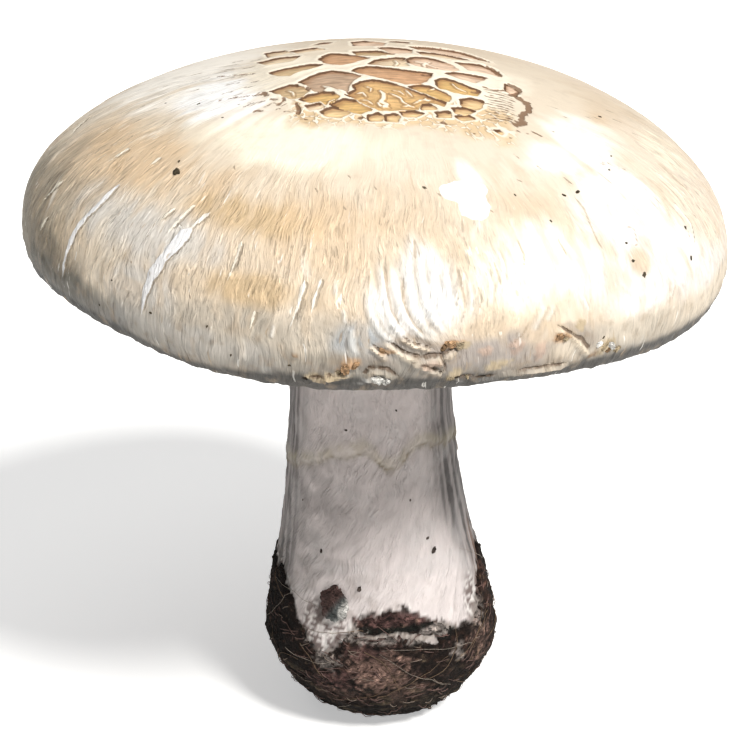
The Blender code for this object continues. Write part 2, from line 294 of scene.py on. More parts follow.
# The torn remains of the veil along the rim: width, then (azimuth, share).
VEIL_RIDGES = (
    (1.1, ((270.8, 0.955), (272.2, 0.975), (274.2, 0.998), (276.5, 1.005), (279.0, 1.000), (281.6, 0.982))),
    (0.8, ((268.8, 0.970), (270.0, 0.988), (271.4, 1.002))),
    (0.8, ((273.0, 0.940), (275.0, 0.965), (277.6, 0.980))),
    (0.7, ((278.6, 1.000), (279.2, 1.016), (279.7, 1.034))),
    (0.6, ((274.6, 1.012), (277.2, 1.022), (279.5, 1.036))),
    (1.1, ((297.4, 0.950), (300.4, 0.992), (304.0, 1.034))),
    (0.8, ((258.6, 1.060), (262.4, 1.048), (266.0, 1.032))),
    (1.0, ((267.6, 1.044), (269.2, 1.024), (271.0, 1.026), (272.8, 1.044))),
    (0.7, ((280.4, 1.050), (285.0, 1.058), (290.0, 1.056), (295.0, 1.052), (301.0, 1.052))),
)

# Tags of veil stuck flat on the rim: azimuth, share, reach across and down in mm, colour.
TAGS = (
    (265.6, 1.022, 1.5, 0.8, "rust"), (263.4, 1.046, 2.4, 0.5, "straw"), (280.6, 0.968, 1.7, 0.7, "rust"),
    (282.0, 0.974, 1.0, 0.8, "straw"), (271.0, 0.988, 1.0, 0.5, "rust"), (298.0, 0.985, 1.2, 0.9, "rust"),
    (285.5, 1.000, 1.2, 0.8, "blush"), (290.5, 0.990, 1.3, 1.1, "blush"), (288.0, 1.030, 2.0, 0.6, "straw"),
    (294.5, 1.010, 1.0, 1.2, "blush"), (301.5, 0.960, 0.9, 1.4, "straw"), (306.8, 1.028, 1.9, 0.9, "straw"),
    (304.0, 1.040, 1.0, 0.5, "umber_crumb"), (281.2, 1.042, 1.3, 0.6, "straw"),
    (277.6, 1.016, 1.4, 0.5, "blush"), (269.6, 1.052, 1.9, 0.7, "chalk"), (260.0, 1.050, 1.2, 0.4, "straw"),
    (258.0, 1.010, 0.6, 0.4, "umber_crumb"),
)
# Bits that cling to the cap: azimuth, share and length of each dark fleck.
FLECKS = (
    (224.2, 0.562, 1.5), (222.2, 0.532, 0.55), (202.0, 0.372, 0.5), (217.0, 0.372, 0.4),
    (192.8, 0.425, 0.35), (278.5, 0.497, 0.6), (297.2, 0.540, 0.45), (301.5, 0.630, 0.45),
    (307.8, 0.565, 0.6), (311.5, 0.565, 0.8), (348.2, 0.422, 0.6), (329.8, 0.505, 0.4),
    (324.5, 0.535, 0.45), (314.5, 0.743, 0.5), (314.2, 0.800, 0.6), (330.8, 0.770, 0.6),
    (328.5, 0.863, 0.7), (220.8, 1.025, 0.45), (223.8, 0.940, 0.35), (243.8, 0.983, 0.4),
    (247.8, 1.032, 0.4), (257.0, 1.032, 0.5), (233.0, 0.995, 0.45), (306.0, 1.010, 0.5),
    (315.5, 0.852, 0.9), (40.0, 0.60, 0.8), (75.0, 0.75, 0.6), (130.0, 0.55, 0.9), (118.0, 0.86, 0.5),
    (12.0, 0.90, 0.5),
)
# Crumbs of torn veil on the rim: azimuth, share, size and colour.
CRUMBS = (
    (265.2, 1.026, 1.5, "rust"), (266.6, 1.020, 1.2, "rust"), (264.2, 1.038, 0.9, "straw"),
    (280.2, 0.968, 1.3, "rust"), (281.6, 0.974, 1.1, "straw"), (279.2, 0.978, 0.9, "umber_crumb"),
    (270.4, 0.985, 0.8, "rust"), (269.9, 1.046, 1.7, "chalk"), (271.2, 1.050, 1.3, "chalk"),
    (297.6, 0.980, 1.2, "rust"), (298.6, 0.990, 0.9, "straw"), (305.2, 1.020, 1.1, "chalk"),
    (306.4, 1.028, 1.2, "straw"), (307.8, 1.030, 1.3, "chalk"), (309.2, 1.040, 1.1, "straw"),
    (307.2, 1.038, 0.8, "umber_crumb"), (280.6, 1.048, 1.0, "straw"), (283.2, 1.056, 0.8, "straw"),
)
CRUMB_COLOURS = {
    "rust": (0.50, 0.31, 0.17),
    "blush": (0.55, 0.38, 0.29),
    "straw": (0.50, 0.40, 0.26),
    "umber_crumb": (0.25, 0.16, 0.09),
    "chalk": (0.82, 0.80, 0.75),
}

# Sunken cells where the crown's skin has cracked: colour, then corners on the cap's own plan.
CELLS = (
    ("rosy", ((-4.2, -6.2), (-3.6, -5.3), (-2.3, -4.6), (-0.5, -4.8), (2.0, -5.4), (5.9, -6.0), (5.7, -7.0),
     (5.1, -8.6), (4.4, -9.4), (2.6, -10.0), (1.3, -9.4), (-0.6, -8.4), (-2.5, -7.4))),
    ("rosy_grey", ((-11.0, -8.5), (-9.8, -7.4), (-8.6, -6.4), (-7.0, -6.0), (-5.5, -6.6), (-4.0, -7.6),
     (-3.4, -8.1), (-4.2, -9.2), (-4.7, -10.6), (-5.0, -12.3), (-6.2, -11.6), (-7.4, -10.6), (-8.2, -11.9),
     (-9.2, -11.2), (-9.9, -9.6))),
    ("golden_tan", ((-4.0, -10.8), (-3.0, -9.7), (-1.6, -9.3), (0.3, -9.9), (2.2, -11.2), (4.5, -12.5),
     (6.0, -13.2), (7.6, -13.8), (7.4, -14.8), (5.9, -14.2), (4.2, -14.6), (4.0, -16.3), (1.2, -16.8),
     (-0.6, -17.0), (-2.2, -15.8), (-3.6, -14.2), (-5.0, -13.2), (-3.7, -12.1))),
    ("golden", ((6.5, -9.2), (6.6, -8.0), (7.4, -7.0), (8.6, -7.2), (10.2, -8.0), (12.1, -8.9),
     (11.6, -10.2), (10.0, -10.6), (8.4, -10.4), (7.2, -10.2))),
    ("tan_cell", ((-14.7, -10.1), (-12.4, -9.0), (-11.5, -9.3), (-10.6, -10.4), (-9.9, -11.5),
     (-10.6, -12.7), (-11.6, -13.0), (-12.6, -12.4), (-13.2, -11.2))),
    ("rosy", ((-8.5, -0.9), (-8.1, 0.6), (-7.2, 1.6), (-5.6, 1.2), (-4.0, 0.2), (-2.2, -0.9), (-3.4, -1.8),
     (-4.6, -3.0), (-5.8, -3.6), (-7.0, -3.2), (-7.9, -2.2))),
    ("tan_cell", ((-14.9, -3.2), (-12.6, -2.9), (-10.0, -2.6), (-8.4, -3.3), (-9.8, -4.2), (-11.4, -4.6),
     (-12.4, -5.7), (-13.6, -5.2), (-14.4, -4.2))),
    ("pale", ((-2.1, -3.4), (-1.2, -1.8), (0.6, -0.6), (2.3, -0.1), (2.4, -2.0), (2.8, -3.6), (1.0, -4.0),
     (-0.8, -3.6))),
    ("rosy_pale", ((2.9, -0.8), (3.8, 0.5), (5.2, 0.8), (7.4, -0.1), (8.7, -1.5), (9.4, -2.9), (8.4, -3.7),
     (6.0, -3.8), (4.2, -3.3), (3.1, -2.1))),
    ("rosy_pale", ((9.4, 0.4), (11.0, 0.9), (12.6, 1.8), (14.1, 1.2), (15.0, -0.3), (15.1, -1.3),
     (13.0, -1.6), (11.0, -1.9), (10.6, -0.8))),
    ("rosy_pale", ((8.0, -5.0), (9.2, -4.1), (11.2, -3.9), (13.2, -3.5), (12.4, -5.0), (11.4, -6.4),
     (9.6, -5.9))),
    ("golden", ((3.1, -10.9), (4.2, -10.1), (5.6, -10.1), (7.2, -11.2), (8.2, -12.0), (8.0, -13.3),
     (6.6, -12.8), (5.0, -11.9))),
    ("pale", ((-16.0, 8.8), (-13.8, 8.2), (-12.6, 5.4), (-15.4, 4.8))),
    ("pale", ((-12.4, 6.4), (-9.8, 6.6), (-8.2, 4.4), (-11.4, 4.0))),
    ("pale", ((-16.6, 2.6), (-14.2, 3.2), (-11.4, 2.0), (-12.4, 0.2), (-15.4, 0.6))),
    ("rosy_pale", ((-4.4, 9.6), (-3.0, 10.6), (-0.2, 8.3), (-0.6, 6.0), (-4.1, 6.1))),
    ("rosy_pale", ((-0.8, 4.8), (0.4, 5.3), (3.4, 4.6), (3.3, 2.6), (1.0, 2.1))),
    ("tan_cell", ((-4.2, 2.4), (-1.2, 2.8), (1.0, 1.4), (-1.4, 0.3), (-3.6, 0.6))),
    ("rosy_pale", ((3.4, 6.4), (6.5, 7.4), (10.2, 8.0), (13.8, 5.2), (10.0, 4.2), (5.0, 4.7))),
    ("pale", ((4.4, 3.6), (8.0, 3.8), (11.0, 3.2), (9.0, 2.0), (5.2, 2.0))),
    ("rosy_pale", ((0.6, 9.6), (1.6, 11.6), (3.2, 10.8), (3.0, 9.2))),
    ("rosy_pale", ((-9.6, 9.2), (-8.6, 11.8), (-7.2, 11.0), (-7.8, 8.8))),
    ("golden", ((-10.8, -13.7), (-9.6, -12.6), (-8.2, -12.2), (-6.8, -12.4), (-6.0, -13.6), (-6.4, -14.4),
     (-7.4, -15.2), (-8.0, -14.3), (-9.4, -14.4))),
    ("golden", ((-6.8, -15.6), (-5.4, -14.4), (-4.2, -14.6), (-3.2, -15.8), (-1.9, -17.0), (-3.2, -17.9),
     (-4.6, -17.0), (-5.8, -16.1))),
    ("pale", ((-10.0, -15.4), (-8.4, -15.1), (-7.8, -16.1), (-9.2, -16.5))),
    ("golden_pale", ((-7.9, -17.0), (-6.6, -16.3), (-5.4, -16.8), (-4.6, -17.8), (-5.6, -18.8),
     (-7.4, -18.2))),
    ("golden_pale", ((-2.0, -18.4), (-1.0, -17.9), (-0.3, -18.6), (-0.6, -19.6), (-1.9, -19.5))),
    ("golden_pale", ((0.1, -18.2), (1.2, -17.8), (1.7, -18.6), (1.4, -19.6), (0.2, -19.6))),
    ("golden_pale", ((2.0, -17.4), (3.6, -16.9), (4.6, -17.3), (3.8, -18.2), (2.4, -18.2))),
    ("golden_pale", ((4.6, -15.2), (5.6, -14.9), (6.4, -15.8), (4.8, -16.2))),
    ("golden_pale", ((6.5, -16.7), (8.0, -16.1), (8.2, -17.4), (6.7, -17.7))),
    ("golden_pale", ((9.6, -12.5), (11.2, -11.4), (12.4, -11.6), (12.2, -13.4), (11.6, -14.2),
     (10.0, -14.0))),
    ("golden_pale", ((8.6, -15.1), (9.8, -14.5), (11.2, -14.7), (10.6, -15.8), (9.0, -16.1))),
    ("golden_pale", ((9.0, -17.0), (10.4, -16.2), (11.3, -16.8), (9.8, -17.8))),
    ("golden_pale", ((13.8, -18.9), (15.0, -18.5), (14.5, -19.6))),
    ("rosy_pale", ((15.8, -4.0), (17.2, -5.2), (16.8, -7.4), (15.6, -6.4))),
)
CELL_COLOURS = {
    "rosy": (0.55, 0.33, 0.19),
    "rosy_grey": (0.46, 0.325, 0.225),
    "golden": (0.60, 0.39, 0.16),
    "golden_tan": (0.60, 0.385, 0.175),
    "golden_pale": (0.70, 0.50, 0.27),
    "tan_cell": (0.56, 0.41, 0.24),
    "pale": (0.74, 0.59, 0.41),
    "rosy_pale": (0.72, 0.53, 0.39),
}
# How far the cells reach from the middle of the crown, in mm.
CELL_REACH = 26.0
# How many fine lines fan out beside the longest torn edge.
FAN_LINES = 13

# Cream threads of skin that still cross the cells: width, then points on the cap's plan.
THREADS = (
    (0.55, ((-0.7, -12.2), (-0.2, -13.0), (-0.2, -14.2), (-0.6, -14.9), (0.2, -15.6), (-0.2, -16.4))),
    (0.30, ((0.6, -12.8), (1.9, -13.8), (2.2, -14.8), (2.9, -15.4))),
    (0.28, ((3.4, -13.2), (3.0, -12.4), (2.6, -11.8))),
    (0.32, ((3.6, -15.0), (4.6, -14.0), (6.0, -13.7))),
    (0.30, ((-3.6, -13.0), (-2.9, -12.7), (-2.4, -13.8))),
    (0.30, ((-1.0, -15.2), (-0.6, -16.0), (0.6, -16.4))),
    (0.35, ((5.2, -3.6), (5.0, -2.4), (5.9, -1.0))),
    (0.30, ((4.0, -1.4), (5.2, -1.9), (6.6, -3.2))),
    (0.30, ((1.2, -1.4), (1.6, -2.6), (1.2, -3.8))),
    (0.50, ((-8.0, -10.3), (-7.0, -11.2), (-5.6, -12.4), (-4.8, -13.2))),
    (0.25, ((-7.2, -15.4), (-7.0, -14.6), (-6.2, -14.2))),
    (0.24, ((-2.6, -11.0), (-1.8, -11.6), (-1.9, -12.4))),
    (0.24, ((2.2, -15.9), (3.0, -15.6), (3.8, -15.9))),
    (0.22, ((1.0, -12.0), (1.8, -12.2), (2.4, -13.0))),
    (0.22, ((4.2, -14.2), (5.0, -13.9), (5.2, -13.2))),
    (0.24, ((-3.0, -14.6), (-2.2, -14.8), (-1.6, -15.6))),
    (0.24, ((5.6, -11.2), (6.2, -10.6), (6.2, -10.4))),
    (0.26, ((-12.6, -10.4), (-11.8, -11.2), (-11.6, -12.4))),
    (0.24, ((8.6, -8.0), (9.2, -9.2), (10.4, -9.8))),
)

# Fine squiggles beside the crown: where each starts on the plan, its length and its slope.
SQUIGGLES = (
    ((-19.6, -12.6), 1.3, 0.3), ((-18.4, -13.8), 1.5, 0.5), ((-17.6, -12.4), 1.2, -0.2),
    ((-16.4, -13.2), 1.4, 0.4), ((-15.6, -14.6), 1.3, 0.8), ((-14.6, -13.6), 1.2, -0.4),
    ((-17.2, -15.6), 1.2, 0.6), ((-14.2, -15.8), 1.3, 0.2), ((-13.4, -14.8), 1.1, 0.7),
    ((-13.0, -16.4), 1.2, -0.3), ((-12.4, -13.2), 1.3, 0.3), ((-16.2, -11.6), 1.6, 0.2),
    ((-19.0, -11.2), 1.5, 0.1), ((-21.4, -8.2), 2.4, 0.1), ((-18.4, -7.2), 2.0, 0.1),
    ((-21.0, -5.0), 2.6, 0.0), ((-17.6, -5.6), 1.6, 0.1), ((-20.4, -2.6), 2.2, -0.1),
    ((-18.8, 1.0), 2.0, 0.1), ((-22.0, 2.0), 2.4, 0.0), ((-18.0, 4.6), 2.0, 0.1), ((-20.8, 5.8), 2.4, 0.1),
    ((-12.0, -18.0), 1.0, 0.4), ((-10.6, -18.8), 1.1, -0.3), ((15.8, -17.6), 1.2, -0.2),
    ((17.2, -18.4), 1.3, 0.2), ((18.0, -16.9), 1.2, -0.3), ((12.6, -19.6), 1.2, 0.3),
    ((10.8, -20.4), 1.0, -0.2), ((19.4, -17.8), 1.4, -0.2), ((15.4, -20.0), 1.2, 0.2),
    ((20.4, -15.4), 1.3, -0.3),
)
# Brown torn edges on the crown: width, then points on the cap's plan.
TORN_EDGES = (
    (0.75, ((15.8, -3.3), (17.2, -4.2), (17.6, -5.4), (16.9, -6.6), (16.3, -7.6), (17.8, -8.2),
     (18.5, -9.6), (18.4, -11.4), (17.6, -12.8), (17.4, -14.2), (17.7, -15.4), (17.2, -16.1),
     (16.4, -16.3))),
    (0.45, ((3.4, 6.3), (6.4, 7.4), (10.2, 8.0), (13.9, 5.3))),
    (0.55, ((13.2, 1.9), (14.3, 1.3), (15.2, -0.9))),
    (0.22, ((-22.0, -10.0), (-19.0, -10.1), (-15.4, -10.6))),
    (0.28, ((-22.2, -0.4), (-19.4, -1.4), (-17.0, -2.5))),
    (0.55, ((-16.0, -10.3), (-15.2, -10.8))),
    (0.45, ((-11.4, -14.4), (-10.9, -15.8), (-10.9, -17.2))),
    (0.45, ((-10.2, -10.2), (-9.8, -11.1))),
    (0.40, ((-13.0, -12.2), (-12.9, -13.4), (-13.6, -14.2))),
    (0.30, ((-14.8, -12.2), (-13.8, -12.8))),
    (0.30, ((-16.6, -15.0), (-15.6, -15.4))),
    (0.35, ((11.0, -9.4), (12.0, -9.1))),
    (0.28, ((12.4, -7.0), (14.0, -7.4), (15.6, -6.8))),
    (0.35, ((6.9, -19.0), (7.7, -19.3))),
    (0.35, ((4.6, -6.4), (5.7, -6.3))),
    (0.25, ((-3.4, -19.0), (-2.4, -19.2))),
)

# Where the soil stops on the bulb: (angle, height), and the pale bare streak that splits it in front.
SOIL_EDGE = (
    (0, 24.5), (25, 23.5), (60, 21.0), (95, 19.0), (130, 21.5), (165, 23.0), (184, 23.8), (202, 23.0),
    (211, 21.4), (219, 18.6), (226, 15.8), (236, 14.2), (246, 14.8), (254, 17.4), (263, 19.4),
    (279, 20.1), (293, 19.0), (309, 16.9), (322, 15.8), (333, 18.0), (342, 21.8), (350, 25.0), (360, 24.5),
)
# Tones of the soil: angle and height of the middle, reach in each, colour and strength.
SOIL_TONES = (
    (269, 12.2, 17, 3.6, "brown", 0.95),
    (283, 8.0, 14, 2.5, "brown", 0.55),
    (262, 15.2, 10, 1.6, "maroon", 0.75),
    (249, 10.5, 9, 2.2, "maroon", 0.80),
    (236, 8.5, 8, 2.5, "maroon", 0.55),
    (280, 19.6, 26, 1.0, "maroon", 0.85),
    (281, 18.3, 22, 0.55, "night", 0.90),
    (306, 17.0, 8, 1.2, "night", 0.80),
    (237, 17.8, 9, 3.6, "mould", 0.95),
    (244, 13.2, 7, 1.6, "mould", 0.70),
    (256, 17.6, 6, 1.5, "mould", 0.75),
    (284, 16.8, 26, 0.7, "mould", 0.85),
    (311, 13.4, 5, 1.3, "mould", 0.60),
    (331, 17.5, 7, 3.0, "mould", 0.70),
    (300, 17.6, 12, 0.6, "mould", 0.70),
    (345, 19.0, 9, 6.0, "rust", 0.60),
    (330, 13.0, 12, 3.0, "brown", 0.50),
    (250, 7.5, 14, 2.0, "brown", 0.50),
    (298, 6.0, 20, 1.2, "straw", 0.35),
    (240, 6.0, 16, 1.4, "rust", 0.45),
    (60, 14.0, 40, 4.0, "brown", 0.60),
    (120, 16.0, 20, 3.0, "maroon", 0.50),
    (95, 18.5, 16, 1.2, "mould", 0.60),
)
SOIL_COLOURS = {
    "peat": (0.019, 0.012, 0.0095),
    "brown": (0.225, 0.140, 0.112),
    "maroon": (0.105, 0.055, 0.050),
    "night": (0.014, 0.017, 0.013),
    "mould": (0.38, 0.33, 0.30),
    "rust": (0.065, 0.032, 0.022),
    "straw": (0.16, 0.12, 0.075),
    # Lit copies of maroon and straw, for painted highlights.
    "lit_maroon": (0.1575, 0.088, 0.080),
    "lit_straw": (0.24, 0.18, 0.1125),
}
# How high the crust's inner floor lies, and how far a degree reaches round the bulb, in mm.
SOIL_FLOOR = 0.9
MM_PER_DEGREE = 0.27
BARE_STREAK = ((257, 17.0), (268, 17.2), (280, 17.6), (292, 16.6), (306, 14.9))
RING_LINE = (
    (200, 38.6), (212, 39.4), (226, 40.6), (238, 41.6), (248, 42.6), (258, 43.1), (266, 43.4), (272, 42.7),
    (278, 41.4), (286, 40.9), (292, 41.8), (298, 43.0), (308, 43.6), (322, 42.6), (340, 42.0),
)
STEM_FLECKS = (
    (236, 28.4, 0.7), (304, 30.3, 0.6), (307, 28.4, 1.1), (260, 24.0, 0.9), (218, 34.6, 0.35),
    (253, 46.6, 0.5), (288, 49.4, 0.4), (295, 36.2, 0.4), (60, 33.0, 0.8), (120, 40.0, 0.6),
    (30, 50.0, 0.5), (150, 28.0, 0.7),
)
STEM_COLOURS = {
    "cloud": (0.58, 0.55, 0.54),
    "dirt": (0.24, 0.19, 0.16),
    "felt": (0.86, 0.83, 0.79),
    "felt_shade": (0.22, 0.16, 0.13),
    "speck": (0.11, 0.075, 0.065),
    "pale_speck": (0.80, 0.77, 0.73),
    "smear": (0.36, 0.31, 0.27),
    "rust": (0.20, 0.11, 0.07),
}
# Patches of specks on the stem: angle and height of the middle, and reach in each.
SPECK_PATCHES = ((236, 17.0, 12, 4.6), (282, 17.0, 30, 1.1), (332, 18.0, 9, 5.0), (250, 17.5, 8, 2.0))

CLOD_ANGLE = math.radians(246)
CLOD_HEIGHT = 21.6
CLOD_SIZE = (1.748, 2.208, 0.854)
CLOD_ROUNDNESS = 5
CLOD_COLOURS = {
    "soil": (0.075, 0.045, 0.040),
    "blue": (0.10, 0.14, 0.14),
    "tip": (0.72, 0.70, 0.66),
}
# Threads on the soil: name, radius, colour, seed, least count of points, how many more, length of a stride.
ROOTS = (
    ("straw_rootlets", 0.045, (0.22, 0.14, 0.08), 161, 8, 14, 1.0),
    ("pale_threads", 0.035, (0.40, 0.34, 0.28), 171, 8, 14, 1.0),
    ("brown_strands", 0.070, (0.150, 0.085, 0.070), 181, 5, 4, 0.5),
    ("bleached_strands", 0.050, (0.30, 0.23, 0.18), 191, 4, 4, 0.45),
)

# The finishes, stage and camera.
# What both grain groups give.
GRAIN_OUTPUTS = (("Shade", "NodeSocketFloat"), ("Height", "NodeSocketFloat"))
FINISH_COLOURS = {
    "mottle": (0.33, 0.25, 0.17),
    "warm_scar": (0.90, 0.84, 0.71),
    "dash": (0.36, 0.28, 0.20),
    "pit": (0.63, 0.45, 0.25),
    "seam": (0.30, 0.18, 0.09),
    "bleached": (0.96, 0.96, 0.96),
    # Painted shadow inside the crown's cells.
    "painted_cell_shadow": (0.30, 0.14, 0.06),
    "cell_shadow_line": (0.12, 0.06, 0.03),
    "scored": (0.36, 0.27, 0.18),
    "split": (0.15, 0.10, 0.065),
    "dark_nick": (0.42, 0.31, 0.20),
    # Pale glints along the fibres, painted highlights.
    "painted_glint": (0.92, 0.89, 0.83),
}
# Where the lights and the camera point and how far off they stand, in metres, and the camera's rise.
MIDDLE_HEIGHT = 0.05
LIGHT_DISTANCE = 0.9
CAMERA_TARGET = (-0.001, 0.0, 0.0501)
CAMERA_DISTANCE = 0.34625
CAMERA_ELEVATION = 23.0


# Numbers


def smooth(low, high, value):
    """0 below low, 1 above high and an eased step between them. The ends may be given in either order."""
    share = np.clip((value - low) / (high - low), 0.0, 1.0)
    return share * share * (3.0 - 2.0 * share)


def window(value, rise, fall):
    """1 between two eased steps, each given as the value where it is 0 and the value where it is 1."""
    return smooth(*rise, value) * smooth(*fall, value)


def tapered(share, start, end):
    """1 along a stroke, easing to 0 over its first share and after its last."""
    return smooth(0.0, start, share) * smooth(1.0, end, share)


def hump(*offsets):
    """1 where every offset is 0, and less on all sides of it."""
    return np.exp(-sum(offset**2 for offset in offsets))


def off_angle(turn, middle):
    """Degrees from a middle angle, from -180 to 180."""
    return (turn - middle + 180.0) % 360.0 - 180.0


def drum_at(angle, height, radius=15.0):
    """Places on an upright drum, for noise that has no seam."""
    return np.stack((np.cos(angle) * radius, np.sin(angle) * radius, height), -1)


def along(points, places):
    """The second value of a smooth curve through points, where its first value is each of the places."""
    table = np.array(points, float)
    place = np.clip(places, table[0, 0], table[-1, 0])
    index = np.clip(np.searchsorted(table[:, 0], place), 1, len(table) - 1)
    before, start = table[np.maximum(index - 2, 0)], table[index - 1]
    end, after = table[index], table[np.minimum(index + 1, len(table) - 1)]
    span = end[..., 0] - start[..., 0]
    share = (place - start[..., 0]) / span
    slope_in = span * (end[..., 1] - before[..., 1]) / (end[..., 0] - before[..., 0])
    slope_out = span * (after[..., 1] - start[..., 1]) / (after[..., 0] - start[..., 0])
    cube, square = share**3, share**2
    return (
        (2 * cube - 3 * square + 1) * start[..., 1]
        + (cube - 2 * square + share) * slope_in
        + (3 * square - 2 * cube) * end[..., 1]
        + (cube - square) * slope_out
    )


def scattered(cells, seed):
    """A repeatable number from 0 to 1 for each whole-numbered cell."""
    total = np.full(cells.shape[:-1], seed * 1442695 + 12345, np.int64)
    for axis, factor in zip(range(cells.shape[-1]), (374761393, 668265263, 2246822519)):
        total = (total + cells[..., axis] * factor) & 0xFFFFFFFF
        total = ((total ^ (total >> 13)) * 1274126177) & 0xFFFFFFFF
    total = total ^ (total >> 16)
    return (total & 0xFFFFFF) / float(0x1000000)


def rough(places, seed=0, layers=1):
    """Soft noise from about -1 to 1 over places, each layer twice as fine and half as strong."""
    total = np.zeros(places.shape[:-1])
    for layer in range(layers):
        spot = places * 2.0**layer + 17.3 * layer
        base = np.floor(spot).astype(np.int64)
        inside = spot - base
        fade = inside**3 * (inside * (inside * 6 - 15) + 10)
        value = np.zeros(total.shape)
        for corner in itertools.product((0, 1), repeat=places.shape[-1]):
            cell = base + np.array(corner)
            weight = np.prod(np.where(np.array(corner) == 1, fade, 1 - fade), axis=-1)
            pull = np.zeros(total.shape)
            for axis in range(places.shape[-1]):
                way = 2.0 * scattered(cell, 31 * seed + 7 * axis + layer) - 1.0
                pull += way * (inside[..., axis] - corner[axis])
            value += weight * pull
        total += 1.7 * value / 2.0**layer
    return total


def nearest_two(places, seed=0):
    """How far each place is from the nearest and the second nearest of scattered points, one to a cell."""
    base = np.floor(places).astype(np.int64)
    first = np.full(places.shape[:-1], 9.0)
    second = first.copy()
    for corner in itertools.product((-1, 0, 1), repeat=places.shape[-1]):
        cell = base + np.array(corner)
        jitter = [scattered(cell, 53 * seed + axis) for axis in range(places.shape[-1])]
        away = np.linalg.norm(places - cell - np.stack(jitter, -1), axis=-1)
        second = np.where(away < first, first, np.minimum(second, away))
        first = np.minimum(first, away)
    return first, second


def along_stroke(spots, ends):
    """Distance of places from a bent line, + on its right as it runs down, and the share of its length.

    spots(start) gives places measured from a line's corner, in mm, and ends are the corners."""
    best = None
    share = None
    for number, (start, end) in enumerate(zip(ends, ends[1:])):
        across, down = spots(start)
        to_across, to_down = spots(start, end)
        length = np.hypot(to_across, to_down) + 1e-9
        step = np.clip((across * to_across + down * to_down) / length**2, 0.0, 1.0)
        off_across, off_down = across - step * to_across, down - step * to_down
        side = np.where(across * to_down - down * to_across >= 0.0, 1.0, -1.0)
        away = side * np.hypot(off_across, off_down)
        here = (number + step) / (len(ends) - 1)
        if best is None:
            best, share = away, here
        else:
            closer = np.abs(away) < np.abs(best)
            best, share = np.where(closer, away, best), np.where(closer, here, share)
    return best, share


def depth_inside(x, y, corners):
    """How far inside an outline on the plan each place is, and less than 0 outside it."""
    inside = np.zeros(x.shape, bool)
    nearest = np.full(x.shape, 1e9)
    for (x0, y0), (x1, y1) in zip(corners, corners[1:] + corners[:1]):
        side_x, side_y = x1 - x0, y1 - y0
        step = np.clip(((x - x0) * side_x + (y - y0) * side_y) / (side_x**2 + side_y**2), 0.0, 1.0)
        nearest = np.minimum(nearest, np.hypot(x - x0 - step * side_x, y - y0 - step * side_y))
        if y0 != y1:
            inside ^= ((y0 > y) != (y1 > y)) & (x < x0 + (y - y0) * side_x / side_y)
    return np.where(inside, nearest, -nearest)


# Shapes


def waves(table, angle):
    """The sum of cosine waves, each given as how many go round, its height and where it crests in degrees."""
    return sum(height * np.cos(count * angle - math.radians(crest)) for count, height, crest in table)


def turned_with_cap(points):
    """Points of the level cap, turned to its lean. They are rows of x, y and z."""
    right, back = CAP_LEAN_RIGHT, CAP_LEAN_BACK
    about_y = np.array(
        ((math.cos(right), 0, math.sin(right)), (0, 1, 0), (-math.sin(right), 0, math.cos(right)))
    )
    about_x = np.array(((1, 0, 0), (0, math.cos(back), -math.sin(back)), (0, math.sin(back), math.cos(back))))
    return points @ (about_y @ about_x).T


def hang_on_cap(radius, angle, height):
    """Places of the round, level cap, moved to where the wavy, leaning cap has them."""
    spread = radius * (1.0 + waves(MARGIN_WAVES, angle) * (radius / CAP_RADIUS) ** 2)
    height = np.where(height < 0.0, height * (1.0 + waves(RIM_WAVES, angle)), height)
    level = np.stack((spread * np.cos(angle), spread * np.sin(angle), height), -1)
    return turned_with_cap(level) + CAP_CENTRE


def skin_profile(share):
    """Radius and height of the skin at each share, from the crown to the underside of the rim."""
    turn = 0.5 * math.pi * np.clip(share, 0.0, 1.0)
    roll = 0.5 * math.pi * np.clip((share - 1.0) / (MARGIN_END - 1.0), 0.0, 1.0)
    radius = CAP_RADIUS * np.sin(turn)
    crown = CROWN_RISE * np.exp(-((radius / CROWN_RADIUS) ** 4))
    height = CAP_HEIGHT * np.abs(np.cos(turn)) ** CAP_FULLNESS + crown
    under = RIM_RADIUS + (CAP_RADIUS - RIM_RADIUS) * np.cos(roll)
    return np.where(share <= 1.0, radius, under), np.where(share <= 1.0, height, -RIM_DROP * np.sin(roll))


def skin_outward(share):
    """The radial and upright parts of the way that the skin faces."""
    ahead, behind = np.minimum(share + 0.002, MARGIN_END), np.maximum(share - 0.002, 0.0)
    (r1, z1), (r0, z0) = skin_profile(ahead), skin_profile(behind)
    length = np.hypot(r1 - r0, z1 - z0)
    return -(z1 - z0) / length, (r1 - r0) / length


def points_of(radii, heights):
    """Pairs of plain numbers, for a profile to be spun."""
    return [(float(radius), float(height)) for radius, height in zip(radii, heights)]


def lean(radius, angle, height):
    """Places of the upright stem or soil, moved on to the leaning stem, whose neck turns with the cap."""
    upright = np.stack((radius * np.cos(angle), radius * np.sin(angle), height), -1)
    shift = STEM_LEAN * smooth(*STEM_LEAN_SPAN, height)
    leaned = upright - np.stack((shift, 0 * shift, 0 * shift), -1)
    with_cap = turned_with_cap(upright - (0.0, 0.0, CAP_CENTRE[2])) + CAP_CENTRE
    turn = smooth(*NECK_TURN_SPAN, height)[..., None]
    return leaned * (1.0 - turn) + with_cap * turn


# Meshes


